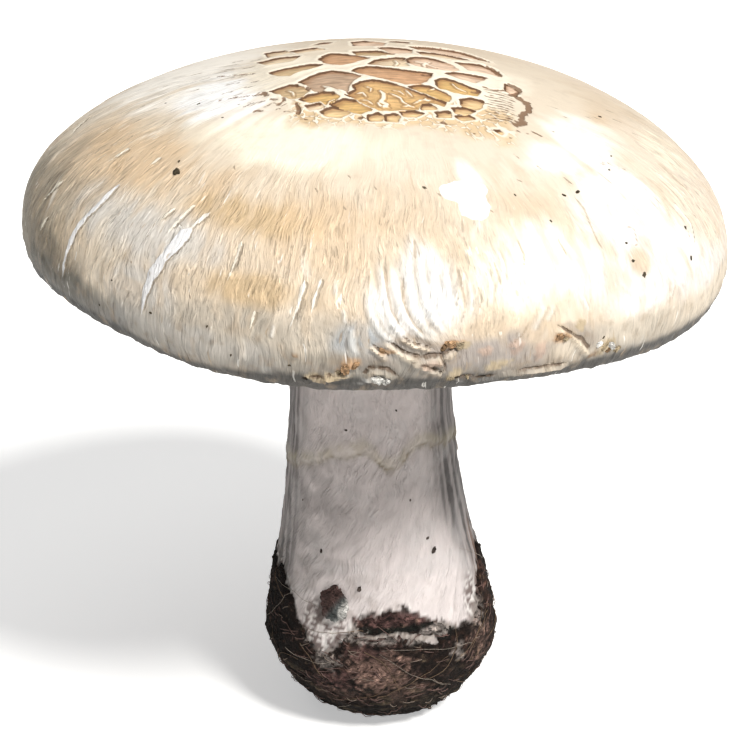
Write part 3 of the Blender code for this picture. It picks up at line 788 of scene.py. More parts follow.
def spin(profile, steps, rows=None, ring=False):
    """Turns (radius, height) points about Z. Each corner keeps the row number that it is given.

    A sector is spun and then doubled until it closes, so steps should halve a few times."""
    doublings = 0
    while steps % 2 == 0 and steps > 60:
        steps, doublings = steps // 2, doublings + 1
    mesh = bmesh.new()
    row_layer = mesh.verts.layers.float.new("row")
    corners = [mesh.verts.new((radius * MM, 0.0, height * MM)) for radius, height in profile]
    for corner, row in zip(corners, range(len(corners)) if rows is None else rows):
        corner[row_layer] = float(row)
    pairs = list(zip(corners, corners[1:]))
    if ring:
        pairs.append((corners[-1], corners[0]))
    edges = [mesh.edges.new(pair) for pair in pairs]
    sector = math.tau / 2**doublings
    bmesh.ops.spin(mesh, geom=corners + edges, axis=(0, 0, 1), cent=(0, 0, 0), angle=sector, steps=steps)
    for number in range(doublings):
        copied = bmesh.ops.duplicate(mesh, geom=mesh.verts[:] + mesh.edges[:] + mesh.faces[:])["geom"]
        moved = [part for part in copied if isinstance(part, bmesh.types.BMVert)]
        turned = Matrix.Rotation(sector * 2**number, 3, "Z")
        bmesh.ops.rotate(mesh, verts=moved, cent=(0, 0, 0), matrix=turned)
    bmesh.ops.remove_doubles(mesh, verts=mesh.verts, dist=WELD)
    return mesh


def to_data(mesh, name):
    """A bmesh as mesh data, with its faces turned outward."""
    bmesh.ops.recalc_face_normals(mesh, faces=mesh.faces)
    data = bpy.data.meshes.new(name)
    mesh.to_mesh(data)
    mesh.free()
    return data


def places_of(data):
    """Radius, angle and height of each vertex in mm."""
    flat = np.empty(len(data.vertices) * 3)
    data.vertices.foreach_get("co", flat)
    spots = flat.reshape(-1, 3) / MM
    return np.hypot(spots[:, 0], spots[:, 1]), np.arctan2(spots[:, 1], spots[:, 0]), spots[:, 2]


def rows_of(data):
    """The row number that each vertex was spun with."""
    rows = np.empty(len(data.vertices))
    data.attributes["row"].data.foreach_get("value", rows)
    return rows


def fill(data, spots, tint, grain):
    """Puts the vertices at spots in mm, and keeps their colour and the grain that fibres follow."""
    data.vertices.foreach_set("co", (spots * MM).astype(np.float32).ravel())
    colour = np.concatenate((np.clip(tint, 0.0, 1.0), np.ones((len(tint), 1))), axis=1)
    painted = data.color_attributes.new("tint", "FLOAT_COLOR", "POINT")
    painted.data.foreach_set("color", colour.astype(np.float32).ravel())
    keep(data, "grain", grain)
    if "row" in data.attributes:
        data.attributes.remove(data.attributes["row"])
    data.update()


def keep(data, name, values):
    """Keeps three numbers at each vertex for the piece's finish to read."""
    kept = data.attributes.new(name, "FLOAT_VECTOR", "POINT")
    kept.data.foreach_set("vector", values.astype(np.float32).ravel())


def piece(data, name, material, nodes=(), sharp=60):
    """Finishes a mesh as one of the mushroom's pieces, and hides the solids that it replaces."""
    data.materials.append(material)
    data.shade_smooth()
    data.set_sharp_from_angle(angle=math.radians(sharp))
    made = bpy.data.objects.new(name, data)
    bpy.context.scene.collection.objects.link(made)
    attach(made, "root")
    if nodes:
        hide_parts(*nodes)


def mixed(colour, other, mask):
    """Rows of colour, blended towards another by mask."""
    return colour + (np.asarray(other) - colour) * np.asarray(mask)[:, None]


# The cap's skin


class Skin:
    """Places on the cap's skin: how far each stands out in mm, its colour, and how far each mark is."""

    def __init__(self, angle, share):
        self.angle, self.share = angle, share
        self.radius, self.level = skin_profile(share)
        self.x, self.y = self.radius * np.cos(angle), self.radius * np.sin(angle)
        self.flat = np.stack((self.x, self.y), -1)
        self.solid = np.stack((self.x, self.y, self.level), -1)
        self.out = np.zeros(len(angle))
        self.colour = np.zeros((len(angle), 3))
        self.floor = np.full((len(angle), 3), 0.5)
        far, none = np.full(len(angle), 3.0), np.zeros(len(angle))
        self.slit = np.stack((far, none, none), -1)
        self.crack = np.stack((-far, -far, far), -1)
        self.marks = np.stack((far, far, far), -1)
        self.net = np.stack((far, none, far), -1)
        self.brush = np.stack((none + 1.0, none, none), -1)

    def measure(self, start, end=None):
        """Distances across and down the skin from a corner in degrees and share, to places or to an end."""
        if end is None:
            turn = (self.angle - math.radians(start[0]) + math.pi) % math.tau - math.pi
            return turn * self.radius, (self.share - start[1]) * SHARE_LENGTH
        return math.radians(end[0] - start[0]) * self.radius, (end[1] - start[1]) * SHARE_LENGTH

    def measure_plan(self, start, end=None):
        """Distances across and down the cap's plan in mm, from a corner to places or to an end."""
        if end is None:
            return self.x - start[0], start[1] - self.y
        return end[0] - start[0], start[1] - end[1]

    def mark(self, channel, gap):
        """Keeps the distance from the nearest mark of one kind."""
        self.marks[:, channel] = np.minimum(self.marks[:, channel], gap)

    def tint(self, colour, mask):
        self.colour = mixed(self.colour, colour, np.clip(mask, 0.0, 1.0))

    def grain(self, stretch, wander=0.0):
        """Places on a drum whose axis is stretched, so that noise over them runs in fibres to the rim."""
        angle = self.angle + wander * rough(self.solid / 5.0, 3) if wander else self.angle
        down = self.share * SHARE_LENGTH / stretch
        return np.stack((np.cos(angle) * 40.0, np.sin(angle) * 40.0, down), -1)

    def spots(self):
        """The places as points in mm, once each stands out as far as it should."""
        out_r, out_z = skin_outward(np.minimum(self.share, MARGIN_END))
        return hang_on_cap(self.radius + out_r * self.out, self.angle, self.level + out_z * self.out)


def lay_tones(skin, look):
    """The broad colours, from cream over the crown to grey under the rim, with painted highlights and painted
    shade among them.
    """
    skin.colour[:] = look.cream
    drift = rough(skin.solid / 11.0, 5, 3)
    skin.tint(TONE_COLOURS["buff"], 0.45 * smooth(0.05, 0.6, drift) * smooth(0.35, 0.6, skin.share))
    skin.tint(TONE_COLOURS["pearl"], 0.35 * smooth(0.1, 0.7, -drift) * smooth(0.5, 0.8, skin.share))
    ragged = rough(skin.grain(5.0, 0.03) / 3.5, 9, 3)
    for azimuth, share, wide, tall, colour, strength in TONES:
        turn = (skin.angle - math.radians(azimuth) + math.pi) % math.tau - math.pi
        off = (turn / math.radians(wide)) ** 2 + ((skin.share - share) / tall) ** 2
        mask = smooth(0.16, 0.80, np.exp(-off) + 0.42 * ragged * np.exp(-0.5 * off))
        skin.tint(TONE_COLOURS[colour], strength * mask)
    blush = smooth(0.15, 0.55, rough(skin.grain(3.0, 0.05) / 2.4, 14, 3)) * smooth(0.35, 0.5, skin.share)
    skin.tint(TONE_COLOURS["buff"], 0.42 * blush * smooth(1.02, 0.95, skin.share))


def lay_fibres(skin, look):
    """Silky fibres that run out to the rim, coarser and greyer near it, with painted highlight and shade along
    each fibre and painted shade over the far left.
    """
    turn, share = np.degrees(skin.angle) % 360.0, skin.share
    outer = smooth(0.36, 0.80, share)
    left = window(turn, (160.0, 172.0), (222.0, 208.0)) * smooth(0.16, 0.24, share)
    brush = 0.15 + 0.85 * smooth(0.36, 0.66, share + 0.06 * rough(skin.solid / 6.0, 17, 2))
    brush = np.maximum(brush, 0.9 * left)
    brush *= 1.0 + 0.5 * window(turn, (214.0, 200.0), (170.0, 184.0)) * smooth(0.6, 0.8, share)
    brush *= 1.0 - 0.55 * window(turn, (284.0, 296.0), (342.0, 330.0)) * smooth(1.03, 0.97, share)
    skin.brush[:, 0] = brush
    skin.brush[:, 1] = 0.25 + 0.75 * smooth(0.86, 1.02, share + 0.06 * rough(skin.solid / 5.0, 18, 2))
    rolled = 1.0 - 0.6 * smooth(1.0, 1.08, share)
    strokes = skin.grain(3.6, 0.05) / 1.5
    coarse = rough(strokes, 1, 2)
    beside = np.stack((-np.sin(skin.angle), np.cos(skin.angle), 0 * skin.angle), -1)
    patchy = np.clip(0.55 + 0.75 * rough(skin.grain(2.0) / 9.0, 4), 0.1, 1.3)
    skin.out += look.fibre_height * (0.2 + 0.8 * outer * patchy) * rolled * coarse
    skin.out += 0.10 * rough(skin.solid / 9.0, 6, 2) * smooth(0.3, 0.6, share)
    # Painted highlight and shade: each coarse fibre is lightened on one side and darkened on the other.
    relief = np.clip((coarse - rough(strokes + 0.16 * beside, 1, 2)) * 2.0, -1.0, 1.0) * patchy
    skin.colour *= (1.0 + 0.13 * outer * relief)[:, None]
    # Painted shade over the far left of the cap, growing towards the rim.
    far_left = window(turn, (218.0, 204.0), (150.0, 180.0)) * smooth(0.62, 1.0, share)
    skin.colour *= 1.0 - far_left[:, None] * FAR_LEFT_SHADE
    spread = smooth(-0.1, 0.5, rough(skin.grain(2.0) / 6.0, 11))
    split = smooth(0.45, 0.75, -rough(skin.grain(4.0, 0.06) / 1.5, 8)) * np.maximum(spread, 0.7 * left)
    outer = np.maximum(outer, 0.8 * left)
    skin.out -= 0.05 * split * outer
    skin.tint(look.groove, 0.38 * split * outer)
    spread = smooth(0.0, 0.5, rough(skin.grain(2.0) / 5.0, 13))
    streaks = smooth(0.40, 0.70, rough(skin.grain(4.0, 0.06) / 1.6, 12)) * spread
    skin.out += 0.07 * streaks * outer
    skin.tint(MARK_COLOURS["pale_streak"], 0.50 * streaks * outer)


def cut_scars(skin, look):
    """Slits that healed pale, each with a dark crease of painted shade along its right side, and short brown
    dashes.
    """
    nearest = np.full(len(skin.share), 9.0)
    uneven = rough(skin.solid / 1.8, 21, 2)
    strokes = [*SCARS]
    for azimuth, share, length in DASHES:
        reach = 0.5 * length / SHARE_LENGTH
        strokes.append((DASH_WIDTH, DASH_WARMTH, ((azimuth, share - reach), (azimuth + 0.5, share + reach))))
    for width, warmth, corners in strokes:
        away, share = along_stroke(skin.measure, corners)
        ends = np.sqrt(smooth(0.0, 0.10, share) * smooth(1.0, 0.45, share))
        half = 0.5 * width * ends * (0.95 + 0.45 * uneven)
        gap = np.abs(away) - half
        closer = gap < nearest
        nearest = np.where(closer, gap, nearest)
        warm = np.full(len(half), warmth)
        mark = np.stack((np.clip(away, -3.0, 3.0), half - smooth(0.4, 0.9, gap), warm), -1)
        skin.slit = np.where(closer[:, None], mark, skin.slit)
        if warmth < DASH_WARMTH:
            taper = smooth(0.02, 0.12, share) * smooth(1.0, 0.9, share)
            skin.out += look.scar_height * smooth(0.20, -0.15, gap)
            skin.out -= 0.10 * hump((away - half - 0.22) / 0.28) * taper


def raise_folds(skin):
    """Pale folds down the front of the rim, with grooves between them darkened by painted shade."""
    for width, corners in FOLDS:
        away, share = along_stroke(skin.measure, corners)
        taper = tapered(share, 0.2, 0.8)
        ridge = hump(away / (0.5 * width)) * taper
        left, right = (hump((away + side * 0.72 * width) / (0.28 * width)) * taper for side in (1, -1))
        skin.out += 0.24 * ridge - 0.10 * left - 0.14 * right
        skin.tint(MARK_COLOURS["fold"], 0.50 * ridge)
        # Painted shade in the grooves on both sides of each fold, more on the right.
        skin.tint(MARK_COLOURS["fold_shade"], 0.55 * right + 0.35 * left)
    across, down = skin.measure(SWELL)
    swell = hump(across / 2.6, down / 4.6)
    skin.out += 0.45 * swell
    skin.tint(MARK_COLOURS["swell"], 0.5 * smooth(0.3, 0.8, swell))


def score_grooves(skin):
    """Fine grooves, each with a low lip on its left side."""
    for width, corners in GROOVES:
        away, share = along_stroke(skin.measure, corners)
        taper = tapered(share, 0.15, 0.85)
        skin.mark(1, np.abs(away) - 0.5 * width * taper)
        skin.out += 0.06 * hump((away + 0.35) / 0.3) * taper - 0.05 * hump(away / 0.25) * taper


def tear_veil(skin):
    """Torn ridges of the veil along the rim, each over a dark crack, with painted shade beside it."""
    for width, corners in VEIL_RIDGES:
        away, share = along_stroke(skin.measure, corners)
        away = away + 0.12 * rough(skin.grain(1.0) / 0.9, 31, 2)
        taper = tapered(share, 0.12, 0.88)
        ridge = hump((away + 0.38 * width) / (0.34 * width)) * taper
        gap = np.abs(away - 0.14 * width) - 0.20 * width * taper
        skin.mark(0, gap)
        shelf = window(away, (0.0, -1.6 * width), (-3.4 * width, -1.6 * width)) * taper
        skin.out += 0.60 * ridge + 0.12 * shelf - 0.30 * smooth(0.15, -0.15, gap)
        skin.tint(MARK_COLOURS["veil"], 0.85 * ridge)
        # Painted shade beside each torn ridge.
        skin.tint(MARK_COLOURS["veil_shade"], 0.60 * hump((away - 0.9 * width) / (0.6 * width)) * taper)


def stick_tags(skin):
    """Flat tags of veil, with ragged outlines and rough faces."""
    face = rough(skin.solid / 0.9, 44, 3)
    shade = (1.0 + 0.25 * face)[:, None]
    for azimuth, share, wide, tall, colour in TAGS:
        across, down = skin.measure((azimuth, share))
        away = np.hypot(across / wide, (down + 0.15 * across) / tall) + 0.45 * face
        tag = smooth(1.05, 0.60, away)
        skin.out += (0.16 + 0.22 * face) * tag
        skin.tint(np.array(CRUMB_COLOURS[colour]) * shade, (0.60 if colour == "blush" else 0.88) * tag)


def roll_margin(skin):
    """The turned-under margin: greyed by painted shade and near black with painted shadow under the rim, and
    lumpy where the veil tore from it.
    """
    lumps = rough(skin.solid / 1.6, 41, 3)
    turn = np.degrees(skin.angle) % 360.0
    low = 0.024 * smooth(26.0, 12.0, np.abs(turn - 270.0))
    low = low + 0.018 * window(turn, (238.0, 224.0), (180.0, 192.0))
    under = low + 0.020 * window(turn, (294.0, 304.0), (350.0, 336.0))
    skin.out += 0.16 * lumps * smooth(0.96, 1.03, skin.share)
    # Painted shade greys the margin as it turns under, and a painted shadow makes it near black below the rim.
    skin.tint(MARK_COLOURS["margin"], 0.62 * smooth(1.015, 1.072, skin.share + 0.012 * lumps + low))
    skin.tint(MARK_COLOURS["under_rim_shadow"], 0.92 * smooth(1.060, 1.078, skin.share + 0.006 * lumps + under))


def sink_cells(skin, look):
    """Sunken cells of the crown, each with a raised lip and a painted shadow on its upper left."""
    near = skin.radius < CELL_REACH
    flat = skin.flat[near]
    x = flat[:, 0] + 0.16 * rough(flat / 1.2, 51, 2)
    y = flat[:, 1] + 0.16 * rough(flat / 1.2, 52, 2)
    inside, shadow_offset = np.full(len(x), -3.0), np.full(len(x), -3.0)
    floor = np.full((len(x), 3), 0.5)
    for kind, corners in CELLS:
        here = depth_inside(x, y, corners) + 0.28
        deeper = here > inside
        inside = np.where(deeper, here, inside)
        reach = min(max(here.max(initial=0.0) / 1.9, 0.3), 1.0)
        # The depth inside a shifted outline sets where the cell's painted shadow falls, along its upper left
        # edge.
        shifted = depth_inside(x - 1.0 * reach, y + 1.5 * reach, corners) / reach
        shadow_offset = np.where(deeper, shifted, shadow_offset)
        floor[deeper] = CELL_COLOURS[kind]
    skin.crack[near, 0], skin.crack[near, 1] = inside, shadow_offset
    skin.floor[near] = floor
    skin.out[near] += 0.10 * hump((inside + 0.40) / 0.40) - look.cell_depth * smooth(-0.15, 0.35, inside)
    cream = smooth(21.0, 17.0, skin.radius + 1.5 * rough(skin.flat / 3.0, 53, 2)) * smooth(3.0, -1.0, skin.y)
    skin.tint(look.thread, 0.75 * cream)


def net_crown(skin):
    """The net of small pits below the cells."""
    edge = skin.y + 0.14 * np.maximum(skin.x - 6.0, 0.0) + 1.5 * rough(skin.flat / 2.0, 56)
    zone = smooth(-21.8, -19.2, edge) * smooth(-12.2, -14.2, skin.y)
    zone *= window(skin.x, (17.2, 15.2), (-13.0, -10.6)) * smooth(0.0, -0.4, skin.crack[:, 0])
    first, second = nearest_two(skin.flat * (0.70, 0.82) + 0.25 * rough(skin.flat, 57)[:, None], 6)
    skin.net[:, 0], skin.net[:, 1] = second - first, zone
    skin.out += 0.10 * zone * (smooth(0.30, 0.05, second - first) - 0.5)


def lay_threads(skin):
    """Raised threads of skin that cross the cells."""
    for width, corners in THREADS:
        away, share = along_stroke(skin.measure_plan, corners)
        half = 0.5 * width * (0.5 + 0.5 * tapered(share, 0.2, 0.8))
        skin.crack[:, 2] = np.minimum(skin.crack[:, 2], np.abs(away) - half)
        skin.out += 0.14 * smooth(half + 0.22, half - 0.12, np.abs(away))


def tear_crown(skin):
    """Brown torn edges on the crown, a fan of fine lines beside the longest and squiggles round about."""
    for width, corners in TORN_EDGES:
        away, share = along_stroke(skin.measure_plan, corners)
        half = (0.06 + 0.5 * width) * smooth(0.0, 0.06, share)
        gap = np.abs(away) + 0.45 * width * rough(skin.flat / 0.7, 59, 2) - half
        skin.mark(2, gap)
        skin.out += 0.10 * hump((away - 1.1 * width) / 0.35) - 0.12 * smooth(0.1, -0.1, gap)
    uneven = 0.13 + 0.06 * rough(skin.flat / 0.8, 58)
    for number in range(FAN_LINES):
        x, y = 12.4 + 0.35 * (number % 3), -7.9 - 0.72 * number
        corners = ((x, y), (x + 2.4, y + 0.25), (17.3 - 0.3 * (number % 2), y - 0.35))
        away, share = along_stroke(skin.measure_plan, corners)
        skin.mark(2, np.abs(away) - uneven * tapered(share, 0.10, 0.75))
    for number, ((x, y), length, slope) in enumerate(SQUIGGLES):
        bend = 0.22 if number % 2 else -0.22
        middle, end = (x + 0.5 * length, y + 0.5 * slope * length + bend), (x + length, y + slope * length)
        away, share = along_stroke(skin.measure_plan, ((x, y), middle, end))
        skin.mark(2, np.abs(away) - 0.15 * tapered(share, 0.2, 0.8))


def crack_crown(skin, look):
    """The crown, where the skin has parted into sunken cells between raised cream threads."""
    sink_cells(skin, look)
    net_crown(skin)
    lay_threads(skin)
    tear_crown(skin)


def bleach_patch(skin):
    """The one smooth white blotch on the front of the cap, with a ragged outline."""
    across, down = skin.measure(BLOTCH)
    ragged = rough(np.stack((across, down), -1) / 1.7, 61, 2)
    left = (across + 0.2) ** 2 / 8.6 + (down - 0.7) ** 2 / 2.8
    right = (across - 0.4) ** 2 / 3.8 + (down - 3.6) ** 2 / 3.4
    skin.net[:, 2] = np.clip(np.minimum(left, right) + 0.28 * ragged - 1.1, -3.0, 3.0)
    blotch = smooth(0.1, -0.2, skin.net[:, 2])
    skin.out = skin.out * (1.0 - 0.7 * blotch) + 0.06 * blotch


def dressed_skin(angle, share, look):
    """The skin with all its marks. Later ones lie over those before."""
    skin = Skin(angle, share)
    lay_tones(skin, look)
    lay_fibres(skin, look)
    bleach_patch(skin)
    cut_scars(skin, look)
    raise_folds(skin)
    score_grooves(skin)
    crack_crown(skin, look)
    tear_veil(skin)
    roll_margin(skin)
    stick_tags(skin)
    return skin


def cap_mesh(look):
    """One closed body: fine rings over the crown, twice the steps outside it, then rim, flesh and socket."""
    radii = np.linspace(0.0, CROWN_EDGE, look.crown_rows + 1)
    inner = np.arcsin(radii / CAP_RADIUS) / (0.5 * math.pi)
    outer = [float(inner[-1])]
    for end, count in SIDE_ROWS:
        outer += list(np.linspace(outer[-1], end, count + 1)[1:])
    flesh = GILL_STATIONS[4::-1]
    under = [*LIP, CEILING[-1], *points_of(flesh, along(CEILING, flesh))]
    under += [(SOCKET_RADIUS, CEILING[0][1]), (SOCKET_RADIUS, SOCKET_CEILING), (0.0, SOCKET_CEILING)]
    crown = spin(points_of(*skin_profile(inner)), look.steps // 2, inner)
    ring = [edge for edge in crown.edges if edge.is_boundary]
    bmesh.ops.subdivide_edges(crown, edges=ring, cuts=1)
    rows = outer + [2.0 + number for number in range(len(under))]
    mesh = spin(points_of(*skin_profile(np.array(outer))) + under, look.steps, rows)
    crown_data = bpy.data.meshes.new("crown_part")
    crown.to_mesh(crown_data)
    crown.free()
    mesh.from_mesh(crown_data)
    bpy.data.meshes.remove(crown_data)
    bmesh.ops.remove_doubles(mesh, verts=mesh.verts, dist=WELD)
    return to_data(mesh, "cap_body")


def build_cap(look):
    """The cap, with its marks laid over the skin and kept for its finish."""
    data = cap_mesh(look)
    radius, angle, height = places_of(data)
    angle = angle - 0.35 * np.cos(angle)  # the steps crowd towards the front, where the marks are finest
    row = rows_of(data)
    on_skin = row < 1.5
    skin = dressed_skin(angle[on_skin], np.minimum(row[on_skin], MARGIN_END), look)
    spots = hang_on_cap(radius, angle, height)
    spots[on_skin] = skin.spots()
    tint = np.empty((len(row), 3))
    tint[on_skin] = skin.colour
    flesh = MARK_COLOURS["flesh"] * (1.0 + 0.08 * rough(spots[~on_skin] / 2.0, 71, 3))[:, None]
    tint[~on_skin] = mixed(flesh, MARK_COLOURS["inner_lip"], smooth(5.0, 2.0, row[~on_skin]))
    whole = Skin(angle, np.minimum(row, MARGIN_END))
    for name in ("slit", "crack", "marks", "net", "brush", "floor"):
        getattr(whole, name)[on_skin] = getattr(skin, name)
        keep(data, name, getattr(whole, name))
    fill(data, spots, tint, whole.grain(6.0, 0.02))
    piece(data, "cap_body", cap_material(look), ("cap",))


def bits_on(name, seats, table, colours, seed, flat, roundness, finish):
    """Small irregular crumbs pressed on to a surface. Seats are points, the ways out and the ways up."""
    mesh = bmesh.new()
    for _ in table:
        bmesh.ops.create_icosphere(mesh, subdivisions=roundness, radius=1.0)
    shape = np.array([vert.co for vert in mesh.verts])
    data = to_data(mesh, name)
    rows = np.arange(len(table))
    number = np.repeat(rows, len(shape) // len(table))
    lumps = 1.0 + 0.45 * rough(shape * 1.3 + 5.0 * number[:, None], seed)
    lumps += 0.18 * rough(shape * 3.1 + number[:, None], seed + 1)
    size = 0.5 * np.array([row[2] for row in table])[number]
    local = shape * (lumps * size)[:, None]
    seat, out, up = seats
    side = np.cross(out, up)
    side /= np.linalg.norm(side, axis=1)[:, None]
    rise = np.cross(side, out)
    turn, shade = (scattered(np.stack((rows, 0 * rows + kind), -1), seed)[:, None] for kind in (3, 9))
    cos, sin = np.cos(math.tau * turn), np.sin(math.tau * turn)
    across, tall = side * cos + rise * sin, rise * cos - side * sin
    spots = seat[number] + across[number] * local[:, :1] + tall[number] * local[:, 1:2] * 0.62
    spots += out[number] * local[:, 2:] * flat
    spots[:, 2] = np.maximum(spots[:, 2], 0.02)
    base = np.array([colours[row[3] if len(row) > 3 else ""] for row in table]) * (0.85 + 0.3 * shade)
    fill(data, spots, base[number] * (1.0 + 0.3 * rough(spots / 0.5, seed + 2, 2))[:, None], spots)
    piece(data, name, finish)


def seats_from(places):
    """Points, ways out and ways up, from a point, one just above it and one just to its left."""
    here, above, beside = places
    up, across = above - here, beside - here
    out = np.cross(across, up)
    return out / np.linalg.norm(out, axis=1)[:, None], up / np.linalg.norm(up, axis=1)[:, None]


def seats_on_cap(table, look):
    """Where bits sit on the cap's skin, the ways out and the ways up."""
    angle, share = np.radians([row[0] for row in table]), np.array([row[1] for row in table])
    places = ((angle, share), (angle, share - 0.004), (angle + 0.004, share))
    out, up = seats_from([Skin(*place).spots() for place in places])
    return dressed_skin(angle, share, look).spots(), out, up


def build_bits(look):
    """The dark flecks on the cap and the crumbs of veil on its rim."""
    finish = crumb_material("fleck_finish", 0.85, 0.25)
    bits_on("cap_flecks", seats_on_cap(FLECKS, look), FLECKS, {"": look.fleck}, 5, 0.30, 2, finish)
    finish = crumb_material("veil_crumb_finish", 0.75, 0.3)
    bits_on("veil_crumbs", seats_on_cap(CRUMBS, look), CRUMBS, CRUMB_COLOURS, 6, 0.55, 4, finish)


# Gills


def build_gills(look):
    """A bed under the flesh with thin plates hanging from it: whole, half and quarter ones in turn."""
    count, samples = look.plates, 6
    stations = np.linspace(GILL_STATIONS[0], GILL_STATIONS[-1], look.rows)
    tops = np.array((41.8, 30.0, 14.3))
    lower = points_of(stations, along(CEILING, stations) - GILL_CLEARANCE - GILL_BED)
    top = points_of(tops, along(CEILING, tops) - GILL_CLEARANCE)
    data = to_data(spin(lower + top, count * samples, ring=True), "gill_plates")
    radius, angle, height = places_of(data)
    hanging = rows_of(data) < len(lower) - 0.5
    pitch = math.tau / count
    index = np.round(angle / (pitch / samples)).astype(int) % (count * samples)
    plate, sample = (index + 2) // samples % count, (index + 2) % samples - 2
    whole, half_length = plate % 4 == 0, plate % 4 == 2
    width = pitch * radius
    edge = np.minimum(0.5 * look.thickness, 0.30 * width)
    foot = np.minimum(0.62 * look.thickness, 0.40 * width)
    sides = [np.sign(sample) * edge, np.sign(sample) * foot, 0.5 * width]
    across = np.select([np.abs(sample) == 1, np.abs(sample) == 2, sample == 3], sides, 0.0)
    start = np.select([whole, half_length], [0.0, 19.0], 28.0)
    start = start + 2.2 * scattered(np.stack((plate, plate), -1), 7)
    reach = np.where(whole, 1.0, smooth(start, start + 5.0, radius))
    sway = rough(np.stack((radius / 5.0, plate * 3.7), -1), 91) * smooth(16.0, 24.0, radius)
    bent = np.where(hanging, plate * pitch + (across + 0.30 * sway * width) / radius, angle)
    low = along(GILL_EDGE, radius) + 0.25 * rough(np.stack((radius / 2.0, plate * 1.9), -1), 92)
    drop = np.minimum(low, height - 0.05) - height
    low = height + drop * reach * np.select([whole, half_length], [1.0, 0.9], 0.7)
    deep = np.where(hanging & (np.abs(sample) <= 1), low, height)
    spots = hang_on_cap(radius, bent, deep)
    tone = (height - deep) / np.maximum(height - along(GILL_EDGE, radius), 0.2)
    # Painted shade: each plate darkens towards the bed between the plates, and its lower edge keeps the paler
    # gill colour.
    tint = mixed(np.full((len(radius), 3), look.valley_shade), look.colour, smooth(0.0, 0.7, tone))
    tint *= (1.0 + 0.14 * rough(spots / 4.0, 93, 2))[:, None]
    grain = np.stack((plate * 5.0 + radius * 0.15, 0.0 * radius, deep), -1)
    fill(data, spots, tint, grain)
    finish = skin_material("gill_finish", 0.62, 0.08, 0.00002)
    piece(data, "gill_plates", finish, ("gills",), sharp=35)


# Stem


def soil_cover(angle, height):
    """How thickly soil lies on the bulb in mm, and less than 0 where the skin is bare."""
    turn = np.degrees(angle) % 360.0
    edge = along(SOIL_EDGE, turn)
    ring = drum_at(angle, height)
    ragged = 1.3 * rough(ring / 3.2, 101, 3)
    cover = (edge - height + ragged) / 1.6

    def measure(start, end=None):
        if end is None:
            return (turn - start[0]) * MM_PER_DEGREE, height - start[1]
        return (end[0] - start[0]) * MM_PER_DEGREE, end[1] - start[1]

    away, share = along_stroke(measure, BARE_STREAK)
    wide = np.maximum(0.60 + 0.55 * rough(ring / 1.6, 102, 2), 0.15)
    cover -= (2.5 + 1.2 * rough(ring / 1.1, 105, 2)) * hump(away / wide) * tapered(share, 0.1, 0.85)
    right = hump((turn - 347.0) / 8.0) * smooth(13.0, 16.0, height)
    cover += right * (1.8 * rough(np.stack((turn / 2.2, height / 7.0), -1), 103) - 0.3)
    return np.clip(cover, -1.0, 1.0)


def stem_outward(height):
    """The radial and upright parts of the way that the stem's side faces."""
    slope = (along(OUTLINE, height + 0.3) - along(OUTLINE, height - 0.3)) / 0.6
    return 1.0 / np.sqrt(1.0 + slope**2), -slope / np.sqrt(1.0 + slope**2)


